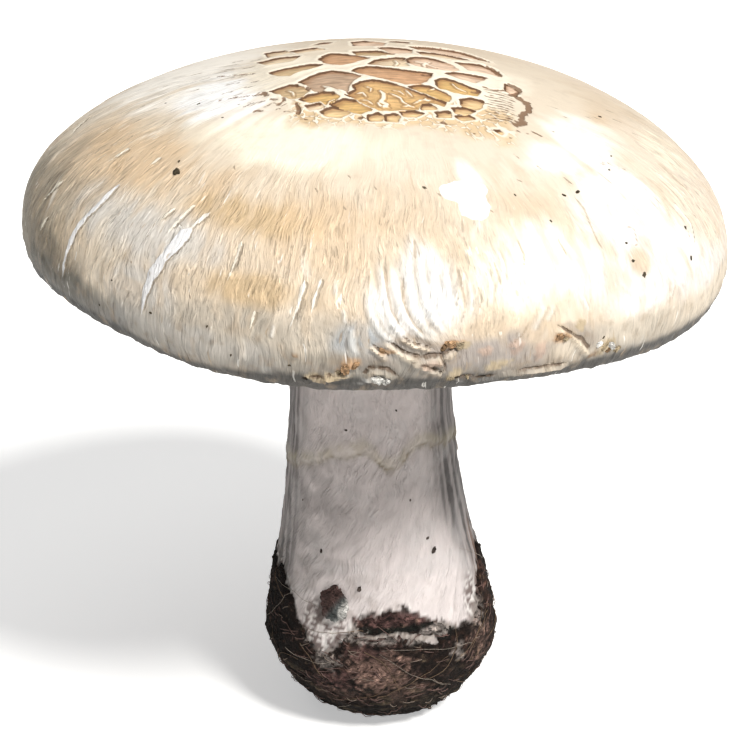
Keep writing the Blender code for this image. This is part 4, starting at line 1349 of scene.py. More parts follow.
def dressed_stem(angle, height, look):
    """Points, colours and grain of the stem's skin."""
    turn = np.degrees(angle) % 360.0
    drum = drum_at(angle, height, 12.0)
    wander = angle + 0.05 * rough(drum / 6.0, 111, 2)
    fibre = drum_at(wander + 0.028 * np.maximum(46.0 - height, 0.0), height / 3.5, 12.0)
    coarse, fine = rough(fibre / 1.5, 112, 2), rough(fibre / 0.6, 113)
    cross = rough(drum_at(angle - height * 0.06, height / 3.0, 12.0) / 1.3, 114, 2)
    low_down = smooth(60.0, 30.0, height)
    out = look.fibre_height * (coarse * (0.5 + 0.5 * low_down) + 0.4 * fine + 1.1 * cross * low_down)
    out += 0.7 * look.fibre_height * rough(drum / 1.1, 127, 3)
    out += 0.12 * rough(drum / 5.0, 115, 2)
    colour = np.full((len(angle), 3), look.skin) * (1.0 + 0.07 * (coarse + cross) + 0.05 * fine)[:, None]
    streaks = smooth(-0.5, 0.4, rough(drum_at(angle, height / 14.0, 12.0) / 0.9, 122, 3))
    # Painted shade down both sides of the stem, reaching lower on the right and broken into darker streaks.
    lower = 14.0 * smooth(34.0, 26.0, height)
    sides = window(turn, (230.0, 202.0), (140.0, 180.0)) + smooth(38.0, 0.0, turn)
    sides = sides + smooth(305.0 + lower, 328.0 + lower, turn)
    colour *= (1.0 - np.clip(sides, 0.0, 1.0) * (0.40 + 0.42 * streaks))[:, None]
    # Painted shade on the front left of the stem, in patches.
    shaded_patch = window(turn, (275.0, 235.0), (205.0, 225.0)) * window(height, (18.0, 26.0), (50.0, 38.0))
    colour *= (1.0 - 0.30 * shaded_patch * smooth(-0.6, 0.4, rough(drum / 3.0, 126, 3)))[:, None]
    # Painted shade on the stem under the cap.
    colour = mixed(colour, look.shade, 0.35 * smooth(48.0, 66.0, height))
    colour = mixed(colour, STEM_COLOURS["cloud"], 0.30 * smooth(0.1, 0.6, rough(drum / 4.0, 116, 3)))

    line = along(RING_LINE, np.clip(turn, 200, 340)) + 0.5 * rough(drum / 1.4, 117, 2)
    back = smooth(200.0, 185.0, turn) + smooth(340.0, 352.0, turn)
    above = height - line - back * 1.2 * rough(drum / 5.0, 118)
    seen = 0.45 + 0.55 * smooth(-0.5, 0.5, rough(drum / 2.2, 119, 2))
    ring = hump(above / 0.34) * seen
    out += 0.20 * window(above, (-0.4, 0.5), (4.0, 0.5)) - 0.10 * ring
    colour = mixed(colour, look.ring_stain, 0.50 * hump((above - 0.9) / 1.0) * seen)
    colour = mixed(colour, look.ring_line, 0.80 * ring)

    low = smooth(30.0, 12.0, height - 4.0 * smooth(300.0, 250.0, turn))
    colour = mixed(colour, STEM_COLOURS["dirt"], 0.45 * smooth(0.15, 0.6, rough(drum / 1.6, 123, 3)) * low)
    cover = soil_cover(angle, height)
    felt = smooth(-1.0, -0.2, cover) * smooth(34.0, 24.0, height)
    threads = rough(np.stack((turn / 3.0, height / 2.4, 0 * turn), -1) + 0.4 * cross[:, None], 120, 3)
    out += 0.30 * felt * np.abs(threads)
    colour = mixed(colour, STEM_COLOURS["felt"], 0.55 * felt * smooth(-0.1, 0.5, threads))
    colour = mixed(colour, STEM_COLOURS["felt_shade"], 0.55 * felt * smooth(0.05, 0.6, -threads))
    specks = rough(drum / (0.8, 0.8, 0.6), 125, 2)
    for middle, level, wide, tall in SPECK_PATCHES:
        patch = hump((turn - middle) / wide, (height - level) / tall)
        thick = smooth(0.2, 0.6, patch)
        out += 0.25 * patch * specks
        colour = mixed(colour, STEM_COLOURS["speck"], 0.88 * thick * smooth(-0.15, 0.15, specks))
        colour = mixed(colour, STEM_COLOURS["pale_speck"], 0.50 * thick * smooth(0.05, 0.40, -specks))
    streak = hump((turn - 282.0) / 30.0, (height - 16.9) / 1.2)
    colour = mixed(colour, STEM_COLOURS["smear"], 0.70 * smooth(0.3, 0.7, streak))
    near = smooth(-0.55, -0.05, cover + 0.45 * rough(drum / 0.6, 124, 3)) * smooth(31.0, 27.0, height)
    colour = mixed(colour, soil_paint(turn, height, drum), near)
    rusty = smooth(-0.2, 0.3, rough(np.stack((turn / 1.6, height / 8.0), -1), 121, 2))
    rusty = rusty * hump((turn - 350.0) / 9.0) * smooth(32.0, 26.0, height)
    colour = mixed(colour, STEM_COLOURS["rust"], 0.75 * rusty)
    out_r, out_z = stem_outward(height)
    radius = along(OUTLINE, height) + out_r * out
    return lean(radius, angle, height + out_z * out * smooth(82.0, 78.0, height)), colour, fibre


def build_stem(look):
    """The stem, and the flecks that cling to it."""
    heights = np.linspace(STEM_FOOT, STEM_TOP, look.rows)
    side = points_of(along(OUTLINE, heights), heights)
    data = to_data(spin([(0.0, STEM_FOOT), *side, (0.0, STEM_TOP)], look.steps), "stem_body")
    radius, angle, height = places_of(data)
    spots, colour, fibre = dressed_stem(angle, height, look)
    axis = radius < 0.1
    spots[axis] = lean(radius[axis], angle[axis], height[axis])
    fill(data, spots, colour, fibre)
    piece(data, "stem_body", skin_material("stem_finish", 0.58, 0.06, 0.00006), ("stem",))

    turn, level = np.radians([row[0] for row in STEM_FLECKS]), np.array([row[1] for row in STEM_FLECKS])
    places = ((turn, level), (turn, level + 0.3), (turn + 0.01, level))
    out, up = seats_from([lean(along(OUTLINE, high), at, high) for at, high in places])
    seats = dressed_stem(turn, level, look)[0], out, up
    finish = crumb_material("stem_fleck_finish", 0.85, 0.25)
    bits_on("stem_flecks", seats, STEM_FLECKS, {"": look.fleck}, 8, 0.30, 2, finish)


# Soil


def soil_paint(turn, height, drum):
    """The soil's colours for angles in degrees and heights, in ragged patches."""
    colour = np.full((len(turn), 3), SOIL_COLOURS["peat"])
    rusty = smooth(0.25, 0.6, rough(drum / (1.6, 1.6, 0.8), 135, 3))
    colour = mixed(colour, SOIL_COLOURS["rust"], 0.5 * rusty)
    ragged = rough(drum / (1.0, 1.0, 0.7), 138, 4)
    for middle, level, wide, tall, name, strength in SOIL_TONES:
        near = hump(off_angle(turn, middle) / wide, (height - level) / tall)
        mask = smooth(0.30, 0.70, near + 0.85 * ragged * np.sqrt(near))
        colour = mixed(colour, SOIL_COLOURS[name], strength * mask)
    return colour


def soil_out(angle, height, look):
    """How far the soil's rough face stands off the bulb's outline, and its cover."""
    drum = drum_at(angle, height)
    cover = soil_cover(angle, height)
    first, _ = nearest_two(drum / 1.5, 9)
    crumbs = 0.42 * np.clip(1.0 - first**2, 0.0, 1.0) + 0.30 * rough(drum / 2.6, 131, 2)
    crumbs = crumbs + 0.16 * rough(drum / 0.6, 132)
    fibres = rough(drum_at(angle - 0.02 * height, height * 4.0) / 3.0, 133, 2)
    body = look.thickness + look.crumb_height * crumbs + 0.14 * fibres * smooth(14.0, 6.0, height)
    thick = np.where(cover > 0.0, body * smooth(-0.1, 0.9, cover), 0.0) - 0.5 * smooth(0.05, -0.25, cover)
    return thick * smooth(0.0, 2.5, height), cover, crumbs, fibres, drum


def dressed_soil(angle, height, look):
    """How far the crust stands out, and its colours, with tangled ridges of peat and pale mould lit by painted
    highlights.
    """
    out, cover, crumbs, fibres, drum = soil_out(angle, height, look)
    turn = np.degrees(angle) % 360.0
    colour = soil_paint(turn, height, drum)
    pale = smooth(0.25, 0.36, colour[:, 0])
    wrap = drum_at(angle + 0.05 * height, height * 1.8)
    wrap = wrap + 1.1 * np.stack([rough(drum / 2.2, seed, 2) for seed in (146, 147, 148)], -1)
    ridges = smooth(0.20, 0.0, np.abs(rough(wrap / 2.4, 149, 2)))
    ridges = ridges * smooth(-0.4, 0.4, rough(drum / 1.4, 150, 2))
    lit_ridges = ridges * (1.0 - pale)
    # Painted highlights on crumb tops and peat ridges, over the soil's own uneven tone.
    sheen_and_tone = (0.50 + 0.8 * crumbs + 0.30 * rough(drum / 0.7, 134, 2)) * (1.0 - 0.6 * pale) + 0.40 * pale
    colour *= (np.clip(sheen_and_tone, 0.12, 2.0) + 2.3 * lit_ridges)[:, None]
    hang = rough(drum_at(angle, height / 3.0) / 0.5, 154, 2)
    colour *= (1.0 + 0.45 * pale * hang)[:, None]
    hue = rough(drum / 1.8, 152, 3)
    # Lit copies of maroon and straw, painted as highlights on the ridges.
    colour = mixed(colour, SOIL_COLOURS["lit_maroon"], 0.55 * lit_ridges * smooth(0.0, 0.4, hue))
    colour = mixed(colour, SOIL_COLOURS["lit_straw"], 0.50 * lit_ridges * smooth(0.1, 0.5, -hue))
    colour *= (1.0 - 0.40 * window(turn, (236.0, 220.0), (160.0, 190.0)))[:, None]
    # Darker towards the bottom of the crust.
    colour = mixed(colour, look.low_soil, 0.90 * smooth(10.5, 3.5, height + 1.5 * rough(drum / 4.0, 136)))
    strawy = 0.45 * smooth(0.35, 0.8, fibres) * smooth(14.0, 8.0, height)
    colour = mixed(colour, SOIL_COLOURS["straw"], strawy)
    rise = 0.14 * ridges - look.crumb_height * 0.35 * pale * crumbs + 0.08 * pale * hang
    return out + rise * smooth(0.3, 1.2, cover) * smooth(0.5, 3.0, height), colour, drum


def build_soil_crust(look):
    """The cup of soil: its rough outside, and an inside that follows the bulb."""
    heights = 29.0 * np.linspace(0.0, 1.0, look.rows) ** 1.15
    levels = np.array((27.6, 20.0, 12.0, 6.0, 2.4, SOIL_FLOOR))
    outer = points_of(along(OUTLINE, heights), heights)
    inner = points_of(along(OUTLINE, np.maximum(levels - 0.9, 0.0)) - 1.4, levels)
    rows = list(range(len(outer) + 1)) + [1000.0] * (len(inner) + 1)
    profile = [(0.0, 0.0), *outer, *inner, (0.0, SOIL_FLOOR)]
    data = to_data(spin(profile, look.steps, rows), "soil_crust_rough")
    radius, angle, height = places_of(data)
    outside = (rows_of(data) < 999.0) & (radius > 0.1)
    out, colour, drum = dressed_soil(angle, height, look)
    out_r, out_z = stem_outward(height)
    moved = np.where(outside, radius + out_r * out, radius)
    level = np.where(outside & (height > 0.01), np.maximum(height + out_z * out, 0.03), height)
    fill(data, lean(moved, angle, level), colour, drum)
    piece(data, "soil_crust_rough", crumb_material("soil_finish", 0.92, 0.50), ("soil_crust",))


def build_clod(look):
    """The flat lump of soil on the bare skin over the crust's notch."""
    mesh = bmesh.new()
    bmesh.ops.create_icosphere(mesh, subdivisions=CLOD_ROUNDNESS, radius=1.0)
    shape = np.array([vert.co for vert in mesh.verts])
    data = to_data(mesh, "soil_clod_rough")
    taper = float(along(OUTLINE, CLOD_HEIGHT - 1) - along(OUTLINE, CLOD_HEIGHT + 1)) / 2.0
    level_out = np.array((math.cos(CLOD_ANGLE), math.sin(CLOD_ANGLE), 0.0))
    sideways = np.cross((0, 0, 1), level_out)
    upward = np.array((0, 0, 1)) - taper * level_out
    upward = upward / np.linalg.norm(upward)
    outward = np.cross(sideways, upward)
    lump = 1.0 + 0.32 * rough(shape * 1.4 + 3.0, 141, 2) + 0.16 * rough(shape * 4.0, 142, 2)
    lump = lump + 0.10 * np.clip(1.0 - nearest_two(shape * 3.0, 143)[0], 0.0, 1.0)
    local = shape * lump[:, None] * CLOD_SIZE
    seat = level_out * (float(along(OUTLINE, CLOD_HEIGHT)) + 0.25) + np.array((0, 0, CLOD_HEIGHT))
    spots = seat + local[:, :1] * sideways + local[:, 1:2] * upward + (local[:, 2:] + 0.2) * outward
    radius, angle = np.hypot(spots[:, 0], spots[:, 1]), np.arctan2(spots[:, 1], spots[:, 0])
    colour = CLOD_COLOURS["soil"] * (1.3 + 0.5 * rough(spots / 0.6, 144, 2))[:, None]
    colour = mixed(colour, CLOD_COLOURS["blue"], 0.6 * smooth(0.2, -0.6, shape[:, 1] - shape[:, 0]))
    tip = shape[:, 0] - 0.5 * shape[:, 1] + 0.3 * rough(shape * 2.5, 145)
    colour = mixed(colour, CLOD_COLOURS["tip"], 0.7 * smooth(0.55, 0.85, tip))
    fill(data, lean(radius, angle, spots[:, 2]), colour, spots)
    piece(data, "soil_clod_rough", crumb_material("clod_finish", 0.9, 0.4), ("soil_clod",))


def on_soil(turn, level, look, lift=0.0):
    """Points in mm on the soil, or on the bulb's skin where it is bare, for angles in degrees and heights."""
    angle, height = np.radians(turn), np.maximum(level, 0.4)
    out = np.maximum(soil_out(angle, height, look)[0], 0.0) + lift
    out_r, out_z = stem_outward(height)
    return lean(along(OUTLINE, height) + out_r * out, angle, np.maximum(height + out_z * out, 0.12))


def picks(count, kinds, seed):
    """Repeatable numbers from 0 to 1, a row of kinds for each of count things."""
    return scattered(np.stack(np.meshgrid(np.arange(count), np.arange(kinds), indexing="ij"), -1), seed)


def build_crumbs(look):
    """Loose crumbs pressed into the soil and along its edge."""
    pick = picks(look.crumbs, 4, 151)
    turn = 360.0 * pick[:, 0]
    level = along(SOIL_EDGE, turn) * (1.0 - 0.9 * pick[:, 1] ** 1.6) + 1.2 * (pick[:, 2] - 0.5)
    level = np.maximum(level, 1.2)
    table = [(*place,) for place in zip(turn, level, 0.3 + 0.6 * pick[:, 3] ** 2)]
    angle = np.radians(turn)
    out = np.stack((np.cos(angle), np.sin(angle), 0.15 + 0 * angle), -1)
    up = np.broadcast_to((0.0, 0.0, 1.0), out.shape)
    colour = tuple(1.25 * part for part in look.colour)
    finish = crumb_material("loose_soil_finish", 0.92, 0.5)
    seats = on_soil(turn, level, look), out, up
    bits_on("soil_crumbs", seats, table, {"": colour}, 12, 0.8, 2, finish)


def build_roots(look):
    """Thin rootlets and threads that lie over the soil, each a round tube with closed ends."""
    counts = (look.rootlets, look.rootlets // 2, look.strands, look.strands // 2)
    for count, (name, thick, colour, seed, shortest, spread, stride) in zip(counts, ROOTS):
        curve = bpy.data.curves.new(name, "CURVE")
        curve.dimensions = "3D"
        curve.bevel_depth = thick * MM
        curve.bevel_resolution = 1
        curve.use_fill_caps = True
        pick = picks(count, 6, seed)
        turn = 360.0 * pick[:, 0]
        way = np.radians(-40 + 80 * pick[:, 1]) + math.pi * (pick[:, 5] > 0.5)
        level = 3.0 + 0.8 * along(SOIL_EDGE, turn) * pick[:, 2]
        length = shortest + (spread * pick[:, 3]).astype(int)
        path = []
        for step in range(shortest + spread):
            lift = 0.05 + 0.35 * np.clip(np.sin(math.pi * step / (length - 1)), 0.0, 1.0) * pick[:, 4]
            path.append(on_soil(turn % 360.0, level, look, lift))
            way = way + 0.35 * rough(np.stack((0 * turn + step * 0.35, np.arange(count) * 3.1), -1), seed)
            turn = turn + 2.6 * stride * np.cos(way)
            level = np.maximum(level + 0.6 * stride * np.sin(way), 0.8)
        for number in range(count):
            spline = curve.splines.new("POLY")
            spline.points.add(int(length[number]) - 1)
            for step, point in enumerate(spline.points):
                point.co = (*(path[step][number] * MM), 1.0)
                point.radius = 1.0 - 0.5 * step / length[number]
        curve.materials.append(thread_material(name + "_finish", colour))
        made = bpy.data.objects.new(name, curve)
        bpy.context.scene.collection.objects.link(made)
        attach(made, "root")


# Finishes


def node_group(name, outputs, inputs):
    group = bpy.data.node_groups.new(name, "ShaderNodeTree")
    for label, kind, default in inputs:
        socket = group.interface.new_socket(label, in_out="INPUT", socket_type=kind)
        if default is not None:
            socket.default_value = default
    for label, kind in outputs:
        group.interface.new_socket(label, in_out="OUTPUT", socket_type=kind)
    return group, group.nodes.new("NodeGroupInput"), group.nodes.new("NodeGroupOutput")


def add_node(tree, kind, links=None, **settings):
    node = tree.nodes.new(kind)
    for key, value in settings.items():
        setattr(node, key, value)
    for socket, source in (links or {}).items():
        if isinstance(source, bpy.types.NodeSocket):
            tree.links.new(source, node.inputs[socket])
        else:
            node.inputs[socket].default_value = source
    return node


def calc(tree, operation, *values):
    return add_node(tree, "ShaderNodeMath", dict(enumerate(values)), operation=operation).outputs[0]


def step(tree, value, low, high):
    """0 where value is low, 1 where it is high, and an eased step between. Either end may be the larger."""
    ends = {"Value": value, "From Min": low, "From Max": high}
    return add_node(tree, "ShaderNodeMapRange", ends, interpolation_type="SMOOTHSTEP").outputs["Result"]


def blend(tree, mask, base, other):
    """The base colour, turned towards another by a mask from 0 to 1."""
    links = {0: mask, 6: base, 7: (*other, 1.0) if isinstance(other, tuple) else other}
    return add_node(tree, "ShaderNodeMix", links, data_type="RGBA").outputs[2]


def noise(tree, place, scale, detail=2.0):
    links = {"Vector": place, "Scale": scale, "Detail": detail}
    return add_node(tree, "ShaderNodeTexNoise", links).outputs["Fac"]


def kept(tree, name):
    """The three numbers that a piece keeps under name."""
    found = add_node(tree, "ShaderNodeAttribute", attribute_name=name)
    return add_node(tree, "ShaderNodeSeparateXYZ", {0: found.outputs["Vector"]}).outputs


def attribute(tree, name, output="Vector"):
    """What a piece keeps under name, as a colour or a vector."""
    return add_node(tree, "ShaderNodeAttribute", attribute_name=name).outputs[output]


def both(tree, first, second):
    """1 where both masks are 1, or a mask made weaker by a number."""
    return calc(tree, "MULTIPLY", first, second)


def covered(tree, colour, mask, strength, other):
    """The colour, covered by another as strongly as a mask says."""
    return blend(tree, both(tree, mask, strength), colour, other)


def edge_of(tree, field, ragged, amount, outside, inside):
    """1 inside a ragged edge, given what field is where the mask is 0 and where it is 1."""
    return step(tree, calc(tree, "MULTIPLY_ADD", ragged, amount, field), outside, inside)


def line_at(tree, field, middle, wide, core):
    """1 on a line where field is middle, and 0 from its width on."""
    return step(tree, calc(tree, "ABSOLUTE", calc(tree, "SUBTRACT", field, middle)), wide, core)


def multiplied(tree, colour, shade):
    return add_node(tree, "ShaderNodeVectorMath", {0: colour, 1: shade}, operation="MULTIPLY").outputs[0]


def warped(tree, wander, reach, place):
    """Places moved by a noise's colour."""
    links = {0: wander.outputs["Color"], 1: reach, 2: place}
    return add_node(tree, "ShaderNodeVectorMath", links, operation="MULTIPLY_ADD").outputs[0]


def fibre_group():
    """Fine brushed fibres along a piece's grain: a shade about 1, and a height about 0."""
    if "fibre_grain" in bpy.data.node_groups:
        return bpy.data.node_groups["fibre_grain"]
    inputs = (
        ("Grain", "NodeSocketVector", None),
        ("Fineness", "NodeSocketFloat", 1.0),
        ("Contrast", "NodeSocketFloat", 0.2),
    )
    group, given, result = node_group("fibre_grain", GRAIN_OUTPUTS, inputs)
    grain, fineness = given.outputs["Grain"], given.outputs["Fineness"]
    wander = add_node(group, "ShaderNodeTexNoise", {"Vector": grain, "Scale": 0.9, "Detail": 1.0})
    bent = warped(group, wander, (0.5, 0.5, 0.5), grain)
    strokes = noise(group, bent, fineness, 2.0)
    hairs = noise(group, bent, calc(group, "MULTIPLY", fineness, 2.1), 2.0)
    spread = step(group, noise(group, grain, calc(group, "MULTIPLY", fineness, 0.35), 1.0), 0.35, 0.65)
    light = step(group, strokes, 0.53, 0.66)
    dark = step(group, strokes, 0.46, 0.34)
    relief = calc(group, "SUBTRACT", light, dark)
    relief = calc(group, "MULTIPLY_ADD", calc(group, "SUBTRACT", hairs, 0.5), 2.4, relief)
    relief = calc(group, "MULTIPLY", relief, calc(group, "MULTIPLY_ADD", spread, 0.7, 0.5))
    shade = calc(group, "MULTIPLY_ADD", relief, given.outputs["Contrast"], 1.0)
    group.links.new(shade, result.inputs["Shade"])
    group.links.new(relief, result.inputs["Height"])
    return group


def cap_material(look):
    """The cap's finish. Marks are drawn from how far a place is from them, in mm, so edges stay crisp."""
    material, tree, shader, tint = painted_finish("cap_skin_finish", look.roughness, 0.35)
    thread_colour, torn_colour, groove_colour = tuple(look.thread), tuple(look.torn_edge), tuple(look.groove)
    place = add_node(tree, "ShaderNodeTexCoord").outputs["Object"]
    ragged = calc(tree, "MULTIPLY_ADD", noise(tree, place, 1500.0, 3.0), 0.36, -0.18)
    brushed, dirt, _ = kept(tree, "brush")
    mottle = step(tree, noise(tree, place, 520.0, 5.0), 0.50, 0.72)
    colour = covered(tree, tint.outputs["Color"], both(tree, mottle, dirt), 0.5, FINISH_COLOURS["mottle"])

    away, half, warmth = kept(tree, "slit")
    gap = calc(tree, "SUBTRACT", calc(tree, "ABSOLUTE", away), half)
    band = step(tree, calc(tree, "ADD", gap, ragged), 0.05, -0.08)
    # Painted shade: a dark crease along the right side of each healed slit.
    off = calc(tree, "SUBTRACT", away, half)
    off = calc(tree, "SUBTRACT", off, calc(tree, "MULTIPLY_ADD", ragged, -1.0, 0.12))
    crease = both(tree, step(tree, calc(tree, "ABSOLUTE", off), 0.22, 0.05), step(tree, half, 0.05, 0.16))
    warm = calc(tree, "MINIMUM", warmth, 1.0)
    scar = blend(tree, warm, (*look.scar, 1.0), FINISH_COLOURS["warm_scar"])
    dash = step(tree, warmth, 1.4, 1.7)
    scar = blend(tree, dash, scar, FINISH_COLOURS["dash"])
    crease = both(tree, crease, calc(tree, "SUBTRACT", 1.0, dash))
    colour = covered(tree, colour, band, 0.88, scar)
    colour = covered(tree, colour, crease, 0.72, groove_colour)

    net, zone, blotch = kept(tree, "net")
    pit = both(tree, zone, edge_of(tree, net, ragged, 0.4, 0.08, 0.19))
    colour = covered(tree, colour, zone, 0.9, thread_colour)
    colour = covered(tree, colour, pit, 0.85, FINISH_COLOURS["pit"])
    seam = both(tree, zone, line_at(tree, net, 0.16, 0.07, 0.02))
    colour = covered(tree, colour, seam, 0.45, FINISH_COLOURS["seam"])
    bleached = step(tree, calc(tree, "ADD", blotch, ragged), 0.08, -0.08)
    colour = blend(tree, bleached, colour, FINISH_COLOURS["bleached"])

    inside, shadow_offset, thread = kept(tree, "crack")
    across = {"Vector": place, "Scale": (500.0, 1900.0, 0.0), "Rotation": (0.0, 0.0, -0.25)}
    rows = add_node(tree, "ShaderNodeMapping", across).outputs["Vector"]
    streaks = calc(tree, "MULTIPLY_ADD", noise(tree, rows, 1.0, 3.0), 1.5, 0.25)
    floor = multiplied(tree, attribute(tree, "floor", "Color"), streaks)
    # Painted shadow inside each cell along its upper left edge, with a darker line at the very edge.
    past = calc(tree, "ADD", shadow_offset, ragged)
    painted_cell_shadow = both(tree, step(tree, past, 0.30, -1.10), step(tree, inside, 1.7, 0.3))
    floor = covered(tree, floor, painted_cell_shadow, 0.68, FINISH_COLOURS["painted_cell_shadow"])
    far_shadow_line = step(tree, past, -0.70, -0.95)
    line = both(tree, far_shadow_line, step(tree, calc(tree, "ADD", inside, ragged), 0.50, 0.30))
    floor = covered(tree, floor, line, 0.95, FINISH_COLOURS["cell_shadow_line"])
    sunk = edge_of(tree, inside, ragged, 0.8, -0.06, 0.08)
    colour = blend(tree, sunk, colour, floor)
    # A painted highlight along the lip round each cell, in the skin's own cream.
    lip = step(tree, calc(tree, "ABSOLUTE", calc(tree, "ADD", inside, 0.28)), 0.30, 0.05)
    colour = covered(tree, colour, lip, 0.8, thread_colour)
    raised = edge_of(tree, thread, ragged, 0.5, 0.05, -0.07)
    # Painted shadow in a thin line beside each thread.
    shadow = line_at(tree, thread, 0.17, 0.17, 0.03)
    colour = covered(tree, colour, both(tree, shadow, sunk), 0.5, torn_colour)
    colour = covered(tree, colour, raised, 0.92, thread_colour)

    crack, groove, torn = kept(tree, "marks")
    scored = edge_of(tree, groove, ragged, 0.5, 0.06, -0.09)
    colour = covered(tree, colour, scored, 0.60, FINISH_COLOURS["scored"])
    split = edge_of(tree, crack, ragged, 1.2, 0.08, -0.12)
    colour = covered(tree, colour, split, 0.85, FINISH_COLOURS["split"])
    brown = edge_of(tree, torn, ragged, 0.8, 0.06, -0.10)
    colour = covered(tree, colour, brown, 0.88, torn_colour)

    grain = add_node(tree, "ShaderNodeGroup", {"Grain": attribute(tree, "grain")}, node_tree=fibre_group())
    grain.inputs["Fineness"].default_value = 2.7
    relief = both(tree, grain.outputs["Height"], brushed)
    nicks = noise(tree, attribute(tree, "grain"), 1.7, 3.0)
    dark_nicks = both(tree, step(tree, nicks, 0.335, 0.285), brushed)
    colour = covered(tree, colour, dark_nicks, 0.55, FINISH_COLOURS["dark_nick"])
    # Painted glints: pale flecks along the fibres.
    painted_glints = both(tree, step(tree, nicks, 0.665, 0.715), brushed)
    colour = covered(tree, colour, painted_glints, 0.6, FINISH_COLOURS["painted_glint"])
    colour = multiplied(tree, colour, calc(tree, "MULTIPLY_ADD", relief, 0.20, 1.0))
    tree.links.new(colour, shader.inputs["Base Color"])
    height = calc(tree, "MULTIPLY", relief, look.hair_height)
    masks = band, crease, sunk, raised, scored, split, brown, pit
    for mask, lift in zip(masks, (0.07, -0.10, -0.12, 0.10, -0.07, -0.16, -0.12, -0.08)):
        height = calc(tree, "MULTIPLY_ADD", mask, lift, height)
    bump = add_node(tree, "ShaderNodeBump", {"Height": height, "Distance": MM, "Strength": 0.8})
    tree.links.new(bump.outputs["Normal"], shader.inputs["Normal"])
    return material


def crumb_group():
    """Soil grain over a piece: a shade about 1, and a height about 0."""
    if "crumb_grain" in bpy.data.node_groups:
        return bpy.data.node_groups["crumb_grain"]
    inputs = (
        ("Place", "NodeSocketVector", None),
        ("Grains", "NodeSocketFloat", 1500.0),
        ("Contrast", "NodeSocketFloat", 0.5),
    )
    group, given, result = node_group("crumb_grain", GRAIN_OUTPUTS, inputs)
    place, grains = given.outputs["Place"], given.outputs["Grains"]
    lumps = add_node(group, "ShaderNodeTexVoronoi", {"Vector": place, "Scale": grains})
    wander = add_node(group, "ShaderNodeTexNoise", {"Vector": place, "Scale": 420.0, "Detail": 2.0})
    bent = warped(group, wander, (0.0022, 0.0022, 0.0034), place)
    flat = add_node(group, "ShaderNodeMapping", {"Vector": bent, "Scale": (0.8, 0.8, 3.0)}).outputs["Vector"]
    dust = noise(group, flat, calc(group, "MULTIPLY", grains, 0.8), 5.0)
    dust = calc(group, "MULTIPLY_ADD", dust, 6.0, -2.9)
    total = calc(group, "SUBTRACT", dust, calc(group, "MULTIPLY", lumps.outputs["Distance"], 0.6))
    bright = step(group, noise(group, flat, calc(group, "MULTIPLY", grains, 0.5), 4.0), 0.60, 0.72)
    total = calc(group, "MULTIPLY_ADD", bright, 2.2, total)
    shade = calc(group, "MULTIPLY_ADD", total, given.outputs["Contrast"], 1.15)
    group.links.new(calc(group, "MAXIMUM", shade, 0.12), result.inputs["Shade"])
    group.links.new(total, result.inputs["Height"])
    return group


def plain_material(name):
    """A new material, its node tree and its shader."""
    material = bpy.data.materials.new(name)
    material.use_nodes = True
    return material, material.node_tree, material.node_tree.nodes["Principled BSDF"]


def painted_finish(name, roughness, specular):
    """A material that takes its colour from the piece's own tint."""
    material, tree, shader = plain_material(name)
    shader.inputs["Specular IOR Level"].default_value = specular
    shader.inputs["Roughness"].default_value = roughness
    tint = add_node(tree, "ShaderNodeAttribute", attribute_name="tint")
    return material, tree, shader, tint


def finish_surface(tree, shader, tint, grain, roughness, depth):
    """Shades the tint by a grain group's output, and lifts its height as bump."""
    height = grain.outputs["Height"]
    shaded = multiplied(tree, tint.outputs["Color"], grain.outputs["Shade"])
    tree.links.new(shaded, shader.inputs["Base Color"])
    bump = add_node(tree, "ShaderNodeBump", {"Height": height, "Distance": depth, "Strength": 1.0})
    tree.links.new(bump.outputs["Normal"], shader.inputs["Normal"])
    ends = {"From Min": -1.0, "From Max": 1.0, "To Min": roughness - 0.08, "To Max": roughness + 0.08}
    rougher = add_node(tree, "ShaderNodeMapRange", {"Value": height, **ends})
    tree.links.new(rougher.outputs["Result"], shader.inputs["Roughness"])


def skin_material(name, roughness, contrast, depth):
    """The finish of the stem or gills, with fibres along their grain."""
    material, tree, shader, tint = painted_finish(name, roughness, 0.35)
    grain = add_node(tree, "ShaderNodeGroup", {"Grain": attribute(tree, "grain")}, node_tree=fibre_group())
    grain.inputs["Fineness"].default_value = 1.9
    grain.inputs["Contrast"].default_value = contrast
    finish_surface(tree, shader, tint, grain, roughness, depth)
    return material


def crumb_material(name, roughness, contrast):
    """The finish of soil or of crumbs."""
    material, tree, shader, tint = painted_finish(name, roughness, 0.2)
    place = add_node(tree, "ShaderNodeTexCoord").outputs["Object"]
    grain = add_node(tree, "ShaderNodeGroup", {"Place": place}, node_tree=crumb_group())
    grain.inputs["Contrast"].default_value = contrast
    finish_surface(tree, shader, tint, grain, roughness, 0.00030)
    return material


def thread_material(name, colour):
    """The finish of a kind of thread, darker in patches."""
    material, tree, shader = plain_material(name)
    place = add_node(tree, "ShaderNodeTexCoord").outputs["Object"]
    ramp = add_node(tree, "ShaderNodeValToRGB", {"Fac": noise(tree, place, 450.0, 3.0)})
    for stop, position, strength in zip(ramp.color_ramp.elements, (0.3, 0.7), (0.45, 1.0)):
        stop.position = position
        stop.color = (*(strength * part for part in colour), 1.0)
    tree.links.new(ramp.outputs["Color"], shader.inputs["Base Color"])
    shader.inputs["Roughness"].default_value = 0.7
    return material


# Stage


def aim(made, target):
    made.rotation_euler = (Vector(target) - made.location).to_track_quat("-Z", "Y").to_euler()


def around(azimuth, elevation, distance):
    """A point at a distance from the middle of the object, seen from an angle in degrees."""
    turn, rise = math.radians(azimuth), math.radians(elevation)
    return (
        distance * math.cos(turn) * math.cos(rise),
        distance * math.sin(turn) * math.cos(rise),
        MIDDLE_HEIGHT + distance * math.sin(rise),
    )


